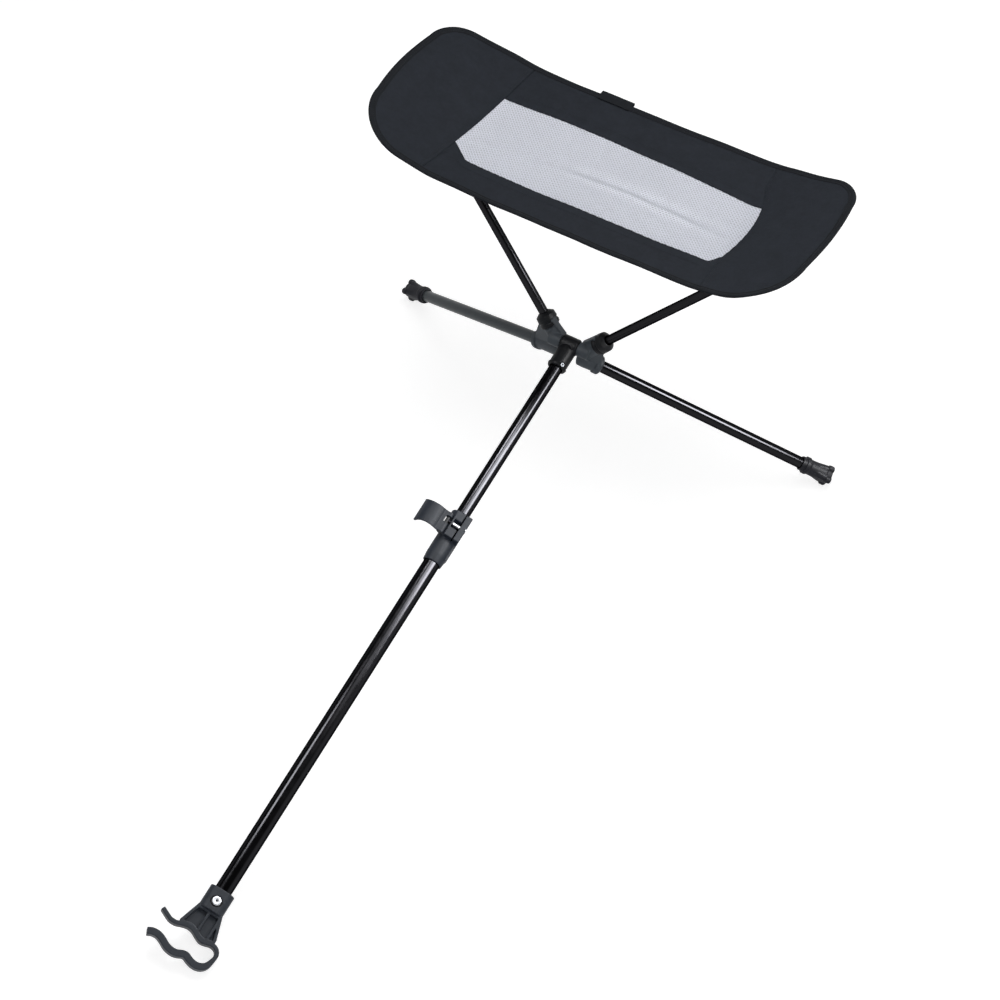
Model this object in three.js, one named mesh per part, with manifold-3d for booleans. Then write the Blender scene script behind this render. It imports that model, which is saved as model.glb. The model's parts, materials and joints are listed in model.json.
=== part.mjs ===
// Clip-on telescoping footrest for a folding camp chair.
// Millimetres, +Z up, +X along the sling, +Y away from the chair.
// The hub axle is the reference of the frame, and the group is moved at the end
// so that the middle of the footprint on the ground is the origin.
import * as THREE from 'three';
import { mergeVertices } from 'three/addons/utils/BufferGeometryUtils.js';
import Module from 'manifold-3d';

const wasm = await Module();
wasm.setup();

// Clearances and cuts
const seatGap = 0.3;
const cutOver = 1;
const weldReach = 0.0001;

// Facets
const tubeSides = 32;
const barrelSides = 32;
const smallSides = 20;
const cornerSteps = 8;
const edgeSteps = 10;
const endSteps = 16;
const panelColumns = 20;
const borderRows = 4;
const meshRows = 8;
const wingColumns = 14;
const wingRows = 16;
const backingSteps = 8;
const tagColumns = 4;
const tagRows = 2;
const webSteps = 6;
const leverSteps = 16;
const leverRows = 2;
const jawSteps = 72;
const socketCornerSteps = 5;
const levelSteps = 50;

// Tubes
const outerTubeDia = 19;
const outerTubeWall = 1;
const innerTubeDia = 16;
const innerTubeWall = 1.2;
const legTubeDia = 14;
const legTubeWall = 1;
const armTubeDia = 11;
const armTubeWall = 1;

// Hub axle and the head of the pole
const axleDia = 8;
const axleHalfLength = 22;
const knuckleRadius = 8.5;
const headHalfWidth = 11;
const headSleeveTop = 1.5;
const headSleeveTopRadius = 7.6;
const headShoulder = 8.8;
const headSleeveEnd = 34;
const headBossRadius = 10.3;
const headBossHalf = 9.2;
const headBossTaper = 1.4;
const headSleeveRadius = 10.9;
const headBeadRadius = 11.9;
const headBeadLength = 6;
const headBeadRound = 1.2;
const headTubeStart = 12.5;
const headScrewStation = 30.3;
const headScrewAngle = 47;
const headScrewHeadDia = 6.4;
const headScrewHeadHeight = 2;
const headScrewShankDia = 3;
const headScrewReach = 3.5;

// Y connectors: where the leg and arm axes cross, and their directions
const crossX = 9;
const crossY = 3.3;
const crossDrop = 15;
const legReachX = 285.2;
const legReachY = 111.2;
const legReachDrop = 162.5;
const armReachX = 0.91;
const armReachY = 0.23;
const armReachRise = 1;
const armMouth = 46;
const leftLegMouth = 56;
const rightLegMouth = 30;
const legSocketRadius = 10;
const legSocketRootRadius = 10.8;
const legTubeStart = 12;
const legMouthRim = 8;
const legMouthRimHeight = 1.6;
const armSocketRadius = 9.6;
const armSocketStart = 10;
const armTubeStart = 27;
const armGrooveDepth = 1.3;
const armRingRadius = 10.4;
const armNoseRadius = 8.8;
const armGrooveShares = [0.7, 0.75, 0.83, 0.88];
const webThickness = 13;
const webFull_share = 1.12;
const gussetThickness = 7;
const gussetTip = 2;
const gussetDrop = 4;
const gussetFoot = 15;
const gussetPlace_share = 0.6;

// Collar rings of the arms in their sockets
const armRingStart = 38;
const armRingEnd = 50.5;
const armRingWall = 1.3;
const armRingRound = 1.3;

// Legs and feet, measured along the leg
const footStart = 305.5;
const footEnd = 346;
const footFloor = 9;
const footLipRadius = 8.8;
const footRingStart = 310.5;
const footRingRadius = 10.6;
const footRingLength = 4.5;
const footNeckRadius = 9.3;
const footNeckLength = 2;
const footBodyRadius = 9.8;
const starRadius = 15;
const starLobeDepth = 5.2;
const starLobePower = 0.8;
const starLobes = 4;
const starSteps = 12;
const starThickness = 8;
const starChamfer = 1.4;
const footDimpleRadius = 2.2;
const footDimpleDepth = 3;
const footRibThickness = 8;

// Sling, over the axle
const slingNearY = -44;
const slingFarY = 186;
const slingNearRise = 228;
const slingFarRise = 206.5;
const kinkNear = 173;
const kinkFar = 155;
const wingSlope_share = 0.34;
const wingBlend = 14;
const slingSag = 10;
const wingEnd = 265;
const wingEndBow = 4;
const wingNearRadius = 66;
const wingFarRadius = 35;
const wingFarTaper = 18;
const wingFarTaperPower = 1.2;
const clothThickness = 1.6;
const meshThickness = 0.8;
const windowNearY = 3;
const windowFarY = 121;
const bindingDepth = 8;
const bindingWall = 1;
const boardThickness = 1.5;
const boardInset = 14;
const liningThickness = 1;
const tagCentre = -51;
const tagWidth = 40;
const tagReach = 6;
const tagThickness = 1.6;

// Arm ends
const tipWall = 1.2;
const tipLength = 18;
const tipDome = 4;
const pocketWall = 1.5;
const pocketLength = 34;
const pocketFloor = 2;

// Slide lock, along the pole from the axle
const lockStation = 246;
const lockLength = 66;
const lockLip = 4;
const lockRadius = 12.2;
const lockEndRadius = 11.3;
const lockTaper = 10;
const lockRound = 1;
const lockClamp = 35.5;
const boltOffset = 14.5;
const boltStation = 19;
const boltDia = 4;
const pinOffset = 11;
const pinDia = 5;
const earTop = 3;
const leverTop = 10;
const earReach = 4;
const earInner = 8;
const rightEarInner = 5.4;
const rightEarOuter = 12.8;
const leftEarInner = 4.2;
const clampSlit = 1.4;
const boltWindow = 10.4;
const boltWindowFloor = 1.2;
const bossHalfDepth = 6.5;
const bossChamfer = 9;
const bossFoot = 8;
const nutDia = 6.6;
const nutHeight = 3;
const nutProud = 0.3;
const nutSlotWidth = 1;
const nutSlotDepth = 1;

// Cam lever
const leverOpenAngle = 100;
const leverClearance = 0.5;
const leverThickness = 2.6;
const leverArcStart = 62;
const leverArcEnd = 184;
const leverTipFlare = 1.6;
const leverTipCurl = 1.2;
const knuckleWindow = 8;
const tubeSlotWidth = 2.4;
const tubeSlotLength = 32;

// Slide bush at the lower end of the inner tube
const innerTubeEnd = 478;
const bushCollar = 12;
const bushShank = 16;
const bushBore = 4;

// Chair clip, along the pole from the axle
const clipStation = 740.7;
const clipSocketLength = 23.5;
const clipSocketWidth = 28.4;
const clipSocketDepth = 24;
const clipSocketRound = 9.5;
const clipWidth = 17;
const clipSeatStation = 805.5;
const clipReach = 47;
const clipSeatHalf = 12.5;
const clipUpperWall = 4.6;
const clipLowerWall = 7.5;
const jawWallFrom_share = 0.48;
const jawWallTo_share = 0.58;
const clipWeb = 6;
const clipRib = 3;
const clipRibPlace = -13;
const clipEdgeRib = 3.4;
const clipFloorRib = 1.5;
const clipFanDrop = 25;
const clipFanFlare_share = 0.32;
const clipSocketRoot = 1.5;
const clipScrewStation = 754.5;
const clipScrewHeadDia = 11.4;
const clipScrewHeadHeight = 3.4;
const clipScrewSink = 1.6;
const clipScrewDia = 5;
const clipHexAcross = 5;
const clipHexDepth = 2;
const clipNutAcross = 9;
const clipNutHeight = 3;
const clipSwivel = 70.3;
// Inner outline of the jaws from the upper tip round the closed end to the lower tip,
// as shares of the reach along the mouth and of the front seat's half height towards the lower jaw
const jawShares = [[0.94, -1.18], [0.81, -0.95], [0.68, -0.74], [0.6, -0.7], [0.49, -0.72], [0.36, -0.9],
  [0.23, -1.02], [0.11, -0.97], [-0.02, -0.74], [-0.17, -0.52], [-0.3, -0.59], [-0.43, -0.72], [-0.54, -0.62],
  [-0.592, -0.35], [-0.592, -0.1], [-0.575, 0.14], [-0.53, 0.56], [-0.47, 0.79], [-0.36, 0.93], [-0.23, 0.86],
  [-0.085, 0.66], [0.04, 0.72], [0.16, 0.93], [0.26, 0.96], [0.38, 0.87], [0.51, 0.62], [0.64, 0.44],
  [0.75, 0.4], [0.87, 0.47], [0.98, 0.68]];

const deg = THREE.MathUtils.degToRad;
const V3 = (x, y, z) => new THREE.Vector3(x, y, z);

// Materials
function finish(color, roughness, metalness) {
  return new THREE.MeshStandardMaterial({ color, roughness, metalness });
}
const glossTube = finish(0x0d0d10, 0.18, 0.5);
const satinTube = finish(0x2b2d30, 0.4, 0.4);
const hardPlastic = finish(0x2a2d31, 0.55, 0);
const darkPlastic = finish(0x1c1e21, 0.5, 0);
const rubber = finish(0x202225, 0.75, 0);
const steel = finish(0xc9cbce, 0.22, 1);
const cloth = finish(0x23262d, 0.85, 0);
const tape = finish(0x16181c, 0.8, 0);
const meshCloth = finish(0xc4c5c8, 0.8, 0);
const board = finish(0xd8d8d4, 0.6, 0);

// Turns a three.js geometry into one closed welded body whose faces point out
function weld(source) {
  const bare = source.clone();
  for (const name of Object.keys(bare.attributes)) {
    if (name !== 'position') bare.deleteAttribute(name);
  }
  const merged = mergeVertices(bare, weldReach);
  const index = merged.index.array;
  const kept = [];
  for (let i = 0; i < index.length; i += 3) {
    const [a, b, c] = [index[i], index[i + 1], index[i + 2]];
    if (a !== b && b !== c && c !== a) kept.push(a, b, c);
  }
  merged.setIndex(kept);
  if (signedVolume(merged) < 0) {
    for (let i = 0; i < kept.length; i += 3) [kept[i + 1], kept[i + 2]] = [kept[i + 2], kept[i + 1]];
    merged.setIndex(kept);
  }
  return merged;
}

function signedVolume(geometry) {
  const place = geometry.attributes.position;
  const index = geometry.index.array;
  const [a, b, c] = [V3(0, 0, 0), V3(0, 0, 0), V3(0, 0, 0)];
  let total = 0;
  for (let i = 0; i < index.length; i += 3) {
    a.fromBufferAttribute(place, index[i]);
    b.fromBufferAttribute(place, index[i + 1]);
    c.fromBufferAttribute(place, index[i + 2]);
    total += a.dot(b.cross(c)) / 6;
  }
  return total;
}

// A manifold solid from a geometry, and back
function solid(source) {
  const body = weld(source);
  return new wasm.Manifold(new wasm.Mesh({
    numProp: 3,
    vertProperties: new Float32Array(body.attributes.position.array),
    triVerts: new Uint32Array(body.index.array),
  }));
}

function surface(manifold) {
  const mesh = manifold.getMesh();
  const places = new Float32Array(mesh.numVert * 3);
  for (let i = 0; i < mesh.numVert; i += 1) {
    for (let k = 0; k < 3; k += 1) places[i * 3 + k] = mesh.vertProperties[i * mesh.numProp + k];
  }
  const geometry = new THREE.BufferGeometry();
  geometry.setAttribute('position', new THREE.BufferAttribute(places, 3));
  geometry.setIndex(Array.from(mesh.triVerts));
  return geometry;
}

const join = (...parts) => parts.map(solid).reduce((a, b) => a.add(b));
const cut = (body, ...tools) => tools.map(solid).reduce((a, b) => a.subtract(b), body);

// A profile of [radius, height] pairs turned about Z
function revolve(profile, sides) {
  const points = profile.map(([r, h]) => new THREE.Vector2(r, h));
  return new THREE.LatheGeometry(points, sides).rotateX(Math.PI / 2);
}

const rod = (radius, from, to, sides) => revolve([[0, from], [radius, from], [radius, to], [0, to]], sides);
const pipe = (outer, inner, from, to, sides) => revolve(
  [[inner, from], [outer, from], [outer, to], [inner, to], [inner, from]], sides);
const alongX = (geometry) => geometry.rotateY(Math.PI / 2);
const alongY = (geometry) => geometry.rotateX(-Math.PI / 2);

// A flat outline of [x, y] pairs, as thick as the height, centred on Z = 0
function plate(outline, height) {
  const shape = new THREE.Shape(outline.map(([x, y]) => new THREE.Vector2(x, y)));
  const settings = { depth: height, bevelEnabled: false };
  return new THREE.ExtrudeGeometry(shape, settings).translate(0, 0, -height / 2);
}

function box(x0, x1, y0, y1, z0, z1) {
  return new THREE.BoxGeometry(x1 - x0, y1 - y0, z1 - z0)
    .translate((x0 + x1) / 2, (y0 + y1) / 2, (z0 + z1) / 2);
}

// Hexagonal bar along Z, given across its flats
const hexBar = (across, from, to) => rod(across / Math.sqrt(3), from, to, 6);

// Closed slab over a grid. at(a, b) gives a point and its normal, and low and high are the offsets
// of its two faces along the normal.
function slab(at, columns, rows, low, high) {
  const places = [];
  const stride = (columns + 1) * (rows + 1);
  for (const offset of [low, high]) {
    for (let i = 0; i <= columns; i += 1) {
      for (let j = 0; j <= rows; j += 1) {
        const { point, normal } = at(i / columns, j / rows);
        const p = point.clone().addScaledVector(normal, offset);
        places.push(p.x, p.y, p.z);
      }
    }
  }
  const index = [];
  const quad = (a, b, c, d) => index.push(a, b, c, a, c, d);
  const id = (i, j, top) => top * stride + i * (rows + 1) + j;
  for (let i = 0; i < columns; i += 1) {
    for (let j = 0; j < rows; j += 1) {
      quad(id(i, j, 1), id(i + 1, j, 1), id(i + 1, j + 1, 1), id(i, j + 1, 1));
      quad(id(i, j, 0), id(i, j + 1, 0), id(i + 1, j + 1, 0), id(i + 1, j, 0));
    }
  }
  for (let i = 0; i < columns; i += 1) {
    quad(id(i, 0, 0), id(i + 1, 0, 0), id(i + 1, 0, 1), id(i, 0, 1));
    quad(id(i, rows, 0), id(i, rows, 1), id(i + 1, rows, 1), id(i + 1, rows, 0));
  }
  for (let j = 0; j < rows; j += 1) {
    quad(id(0, j, 0), id(0, j, 1), id(0, j + 1, 1), id(0, j + 1, 0));
    quad(id(columns, j, 0), id(columns, j + 1, 0), id(columns, j + 1, 1), id(columns, j, 1));
  }
  return gridGeometry(places, index);
}

function gridGeometry(places, index) {
  const geometry = new THREE.BufferGeometry();
  geometry.setAttribute('position', new THREE.Float32BufferAttribute(places, 3));
  geometry.setIndex(index);
  return geometry;
}

// Groups of the assembly
const part = new THREE.Group();
const frame = new THREE.Group();
const pole = new THREE.Group();
const lowerPole = new THREE.Group();
part.add(frame, pole);
pole.add(lowerPole);

function piece(parent, name, geometry, material) {
  const mesh = new THREE.Mesh(weld(geometry), material);
  mesh.geometry.computeVertexNormals();
  mesh.name = name;
  parent.add(mesh);
  return mesh;
}

// Directions of the leg and the arm on the right-hand side; the left side is the mirror image
const cross = V3(crossX, crossY, -crossDrop);
const legDirection = V3(legReachX, legReachY, -legReachDrop).normalize();
const armDirection = V3(armReachX, armReachY, armReachRise).normalize();
const mirrored = (v, side) => V3(v.x * side, v.y, v.z);

// Puts a geometry that was made along Z onto an axis from the crossing point
function along(direction, geometry) {
  const turn = new THREE.Quaternion().setFromUnitVectors(V3(0, 0, 1), direction);
  return geometry.applyQuaternion(turn).translate(cross.x, cross.y, cross.z);
}

function mirrorX(geometry) {
  return geometry.clone().scale(-1, 1, 1);
}

// Y connector: knuckle, leg barrel, arm barrel with its rings, web between them and gusset to the knuckle
function connectorGeometry(legMouth) {
  const inner = headHalfWidth + seatGap;
  const knuckle = alongX(rod(knuckleRadius, inner, axleHalfLength + knuckleRadius / 2, barrelSides));
  const legBarrel = along(legDirection, revolve([
    [0, -legSocketRadius], [legSocketRootRadius, -legSocketRadius], [legSocketRootRadius, legTubeStart],
    [legSocketRadius, legMouth - legMouthRim], [legSocketRadius + legMouthRimHeight, legMouth - legMouthRim],
    [legSocketRadius + legMouthRimHeight, legMouth - legMouthRimHeight], [legSocketRadius, legMouth],
    [0, legMouth]], barrelSides));
  const [g1, g2, g3, g4] = armGrooveShares.map((share) => share * armMouth);
  const grooved = armSocketRadius - armGrooveDepth;
  const armBarrel = along(armDirection, revolve([
    [0, armSocketStart], [armSocketRadius, armSocketStart], [armSocketRadius, g1], [grooved, g1],
    [grooved, g2],
    [armRingRadius, g2], [armRingRadius, g3], [grooved, g3], [grooved, g4], [armSocketRadius, g4],
    [armNoseRadius, armMouth], [0, armMouth]], barrelSides));
  const clear = legSocketRootRadius * 2 + armMouth + legMouth;
  const ringBore = armTubeDia / 2 + armRingWall + 2 * seatGap;
  return surface(cut(join(knuckle, legBarrel, armBarrel, connectorWeb(legMouth), connectorGusset()),
    box(-clear, inner, -clear, clear, -clear, clear),
    alongX(rod(axleDia / 2 + seatGap, -cutOver, axleHalfLength + seatGap, smallSides)),
    along(legDirection, rod(legTubeDia / 2 + seatGap, legTubeStart - seatGap, legMouth + cutOver, tubeSides)),
    along(armDirection, rod(armTubeDia / 2 + seatGap, armTubeStart - seatGap, armMouth + cutOver, tubeSides)),
    along(armDirection, rod(ringBore, armRingStart - seatGap, armMouth + cutOver, tubeSides))));
}

// Web in the plane of the leg and the arm, with a bulging outer edge
function connectorWeb(legMouth) {
  const e1 = legDirection.clone();
  const e3 = armDirection.clone().cross(e1).normalize();
  const e2 = e3.clone().cross(e1).negate();
  const armFlat = new THREE.Vector2(armDirection.dot(e1), armDirection.dot(e2));
  const legEnd = new THREE.Vector2(legMouth - legMouthRimHeight, 0);
  const armEnd = armFlat.clone().multiplyScalar(armMouth - seatGap);
  const bulge = legEnd.clone().add(armEnd).multiplyScalar(webFull_share / 2);
  const edge = new THREE.QuadraticBezierCurve(legEnd, bulge, armEnd).getPoints(webSteps);
  const outline = [[0, 0], ...edge.map((p) => [p.x, p.y])];
  const basis = new THREE.Matrix4().makeBasis(e1, e2, e1.clone().cross(e2));
  return plate(outline, webThickness).applyMatrix4(basis).translate(cross.x, cross.y, cross.z);
}

// Gusset from the arm's mouth down to the knuckle, behind the arm
function connectorGusset() {
  const end = cross.clone().addScaledVector(armDirection, armMouth - gussetDrop);
  const flat = new THREE.Vector2(armDirection.x, armDirection.z).normalize();
  const out = armRingRadius + gussetTip;
  const inner = headHalfWidth + seatGap;
  const outline = [[inner, 0], [inner, knuckleRadius - gussetDrop],
    [end.x - flat.y * out, end.z + flat.x * out], [end.x, end.z], [inner + gussetFoot, 0]];
  const yMiddle = cross.y + armDirection.y * armMouth * gussetPlace_share;
  return plate(outline, gussetThickness).rotateX(Math.PI / 2).translate(0, yMiddle, 0);
}

piece(frame, 'right_connector', connectorGeometry(rightLegMouth), hardPlastic);
piece(frame, 'left_connector', mirrorX(connectorGeometry(leftLegMouth)), hardPlastic);
piece(frame, 'hub_axle', alongX(rod(axleDia / 2, -axleHalfLength, axleHalfLength, smallSides)), steel);

// Foot: lip, ring and ribbed body over the tube, with a lobed flange that has a dimple in its end
function footGeometry() {
  const ringEnd = footRingStart + footRingLength;
  const neckEnd = ringEnd + footNeckLength;
  const starBack = footEnd - starThickness;
  const body = revolve([
    [0, footStart], [footLipRadius, footStart], [footLipRadius, footRingStart],
    [footRingRadius, footRingStart],
    [footRingRadius, ringEnd], [footNeckRadius, neckEnd], [footBodyRadius, starBack],
    [footBodyRadius, footEnd], [0, footEnd]], barrelSides);
  const lobe = [];
  const steps = starLobes * starSteps;
  for (let i = 0; i < steps; i += 1) {
    const turn = (i / steps) * Math.PI * 2;
    const hollow = ((1 - Math.cos(starLobes * turn)) / 2) ** starLobePower;
    const r = starRadius - starLobeDepth * hollow;
    lobe.push([r * Math.cos(turn), r * Math.sin(turn)]);
  }
  const starMiddle = (starBack + footEnd - starChamfer) / 2;
  const star = plate(lobe, starThickness - starChamfer).translate(0, 0, starMiddle);
  const cone = revolve([[0, ringEnd], [footNeckRadius, ringEnd],
    [starRadius - starLobeDepth / 2, starBack + cutOver], [0, starBack + cutOver]], barrelSides);
  const half = footRibThickness / 2;
  const ribs = [];
  for (let i = 0; i < starLobes; i += 1) {
    const rib = box(0, starRadius, -half, half, neckEnd, starBack + cutOver);
    ribs.push(rib.rotateZ((i / starLobes) * Math.PI * 2));
  }
  return surface(cut(join(body, star).add(join(...ribs).intersect(solid(cone))),
    rod(legTubeDia / 2 + seatGap, footStart - cutOver, footEnd - footFloor, tubeSides),
    rod(footDimpleRadius, footEnd - footDimpleDepth, footEnd + cutOver, smallSides)));
}

const foot = footGeometry();
const legTubeEnd = footEnd - footFloor - seatGap;
const legTube = pipe(legTubeDia / 2, legTubeDia / 2 - legTubeWall, legTubeStart, legTubeEnd, tubeSides);
for (const [name, side, material] of [['right', 1, glossTube], ['left', -1, satinTube]]) {
  const group = new THREE.Group();
  group.position.copy(mirrored(cross, side));
  group.quaternion.setFromUnitVectors(V3(0, 0, 1), mirrored(legDirection, side));
  frame.add(group);
  piece(group, `${name}_leg`, legTube, material);
  piece(group, `${name}_foot`, foot, rubber);
}

// Sling surface: a centre pitched down to the far side, wings that rise beyond the kinks, and a slight sag
const slingPitch = (slingFarRise - slingNearRise) / (slingFarY - slingNearY);
const kinkAt = (y) => kinkNear + ((kinkFar - kinkNear) * (y - slingNearY)) / (slingFarY - slingNearY);
function slingHeight(x, y) {
  const beyond = Math.abs(x) - kinkAt(y);
  const wing = wingSlope_share * 0.5 * (beyond + Math.hypot(beyond, wingBlend));
  const middle = (slingNearY + slingFarY) / 2;
  const across = Math.max(0, 1 - ((y - middle) / (slingFarY - middle)) ** 2);
  const lengthwise = Math.max(0, 1 - (x / wingEnd) ** 2);
  return slingNearRise + slingPitch * (y - slingNearY) + wing - slingSag * across * lengthwise;
}

function slingPoint(x, y) {
  const step = wingBlend / 10;
  const dx = (slingHeight(x + step, y) - slingHeight(x - step, y)) / (2 * step);
  const dy = (slingHeight(x, y + step) - slingHeight(x, y - step)) / (2 * step);
  return { point: V3(x, y, slingHeight(x, y)), normal: V3(-dx, -dy, 1).normalize() };
}

// Outline of a wing, drawn in by an inset
const endAt = (inset) => wingEnd - inset;
function nearEdge(x, inset) {
  const radius = wingNearRadius - inset;
  const over = Math.max(0, x - (endAt(inset) - radius));
  return slingNearY + inset + radius - Math.sqrt(Math.max(0, radius ** 2 - over ** 2));
}
function farEdge(x, inset) {
  const radius = wingFarRadius - inset;
  const over = Math.max(0, x - (endAt(inset) - radius));
  const taper = wingFarTaper * Math.max(0, (x - kinkFar) / (wingEnd - kinkFar)) ** wingFarTaperPower;
  return slingFarY - inset - taper - radius + Math.sqrt(Math.max(0, radius ** 2 - over ** 2));
}

// A point of a wing: a runs from the seam to the end, b from the near edge to the far edge
function wingAt(side, seamGap, inset) {
  return (a, b) => {
    const reach = (1 - Math.cos(a * Math.PI)) / 2;
    const guess = kinkNear + (endAt(inset) - kinkNear) * reach;
    const y = nearEdge(guess, inset) + (farEdge(guess, inset) - nearEdge(guess, inset)) * b;
    const start = kinkAt(y) + seamGap;
    const bow = wingEndBow * 4 * b * (1 - b) * a * a;
    const x = start + (endAt(inset) - start) * reach + bow;
    return slingPoint(side * x, y);
  };
}

// A point of a centre panel between two lines of y
function panelAt(fromY, toY) {
  return (a, b) => {
    const y = fromY + (toY - fromY) * b;
    const half = kinkAt(y) - seatGap / 2;
    return slingPoint(half * Math.sin((2 * a - 1) * (Math.PI / 2)), y);
  };
}

const clothInset = bindingWall + seatGap;
const halfCloth = clothThickness / 2;
const halfMesh = meshThickness / 2;
const nearBand = panelAt(slingNearY + clothInset, windowNearY - seatGap / 2);
const farBand = panelAt(windowFarY + seatGap / 2, slingFarY - clothInset);
const windowBand = panelAt(windowNearY + seatGap / 2, windowFarY - seatGap / 2);
piece(frame, 'near_border', slab(nearBand, panelColumns, borderRows, -halfCloth, halfCloth), cloth);
piece(frame, 'far_border', slab(farBand, panelColumns, borderRows, -halfCloth, halfCloth), cloth);
piece(frame, 'mesh_panel', slab(windowBand, panelColumns, meshRows, -halfMesh, halfMesh), meshCloth);
const boardTop = -halfCloth - seatGap;
const liningTop = boardTop - boardThickness - seatGap;
const liningBottom = liningTop - liningThickness;
const liningInset = bindingDepth + seatGap;
for (const [name, side] of [['right', 1], ['left', -1]]) {
  piece(frame, `${name}_wing`, slab(wingAt(side, seatGap / 2, clothInset), wingColumns, wingRows,
    -halfCloth, halfCloth), cloth);
  const boardAt = wingAt(side, wingBlend, boardInset);
  const liningAt = wingAt(side, wingBlend / 2, liningInset);
  piece(frame, `${name}_wing_board`, slab(boardAt, backingSteps, backingSteps,
    boardTop - boardThickness, boardTop), board);
  piece(frame, `${name}_wing_lining`, slab(liningAt, backingSteps, backingSteps,
    liningBottom, liningTop), cloth);
}

// Points along a straight edge, close together where the wing bends up
function edgeStations(kink, end) {
  const steps = [];
  for (let i = 1; i <= edgeSteps; i += 1) steps.push(kink * Math.sin((i / edgeSteps) * (Math.PI / 2)));
  for (let i = 1; i <= cornerSteps; i += 1) {
    steps.push(kink + ((end - kink) * (1 - Math.cos((i / cornerSteps) * Math.PI))) / 2);
  }
  return steps;
}

// Closed outline of the sling as points of the right half, then of the left half
function slingOutline() {
  const right = [[0, slingNearY]];
  for (const x of edgeStations(kinkNear, wingEnd - wingNearRadius)) right.push([x, slingNearY]);
  const last = endAt(0);
  for (let i = 1; i <= cornerSteps; i += 1) {
    const x = last - wingNearRadius + wingNearRadius * Math.sin((i / cornerSteps) * (Math.PI / 2));
    right.push([x, nearEdge(x, 0)]);
  }
  const from = nearEdge(last, 0);
  const to = farEdge(last, 0);
  for (let i = 1; i < endSteps; i += 1) {
    const b = i / endSteps;
    right.push([last + wingEndBow * 4 * b * (1 - b), from + (to - from) * b]);
  }
  for (let i = cornerSteps; i >= 1; i -= 1) {
    const x = last - wingFarRadius + wingFarRadius * Math.sin((i / cornerSteps) * (Math.PI / 2));
    right.push([x, farEdge(x, 0)]);
  }
  const farStations = [0, ...edgeStations(kinkFar, wingEnd - wingFarRadius)].reverse();
  for (const x of farStations) right.push([x, farEdge(x, 0)]);
  const left = right.slice(1, -1).reverse().map(([x, y]) => [-x, y]);
  return [...right, ...left];
}

// Folded tape over the edge of the cloth: a U section carried round the outline
function bindingGeometry() {
  const outline = slingOutline();
  const open = halfCloth + seatGap;
  const back = open + bindingWall;
  const section = [[0, -back], [0, back], [bindingDepth, back], [bindingDepth, open], [bindingWall, open],
    [bindingWall, -open], [bindingDepth, -open], [bindingDepth, -back]];
  const places = [];
  outline.forEach(([x, y], i) => {
    const before = outline[(i + outline.length - 1) % outline.length];
    const after = outline[(i + 1) % outline.length];
    const run = new THREE.Vector2(after[0] - before[0], after[1] - before[1]).normalize();
    for (const [inward, height] of section) {
      const { point, normal } = slingPoint(x - run.y * inward, y + run.x * inward);
      point.addScaledVector(normal, height);
      places.push(point.x, point.y, point.z);
    }
  });
  const index = [];
  const count = section.length;
  for (let i = 0; i < outline.length; i += 1) {
    for (let k = 0; k < count; k += 1) {
      const [a, b] = [i * count + k, i * count + ((k + 1) % count)];
      const next = ((i + 1) % outline.length) * count;
      const [c, d] = [next + ((k + 1) % count), next + k];
      index.push(a, b, c, a, c, d);
    }
  }
  return gridGeometry(places, index);
}
piece(frame, 'edge_binding', bindingGeometry(), tape);

// Pull tag on the far edge, a folded strip that stands out from the binding
const tagAt = (a, b) => slingPoint(tagCentre + tagWidth * (a - 0.5), slingFarY + seatGap + tagReach * b);
piece(frame, 'pull_tag', slab(tagAt, tagColumns, tagRows, -tagThickness / 2, tagThickness / 2), tape);

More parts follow.
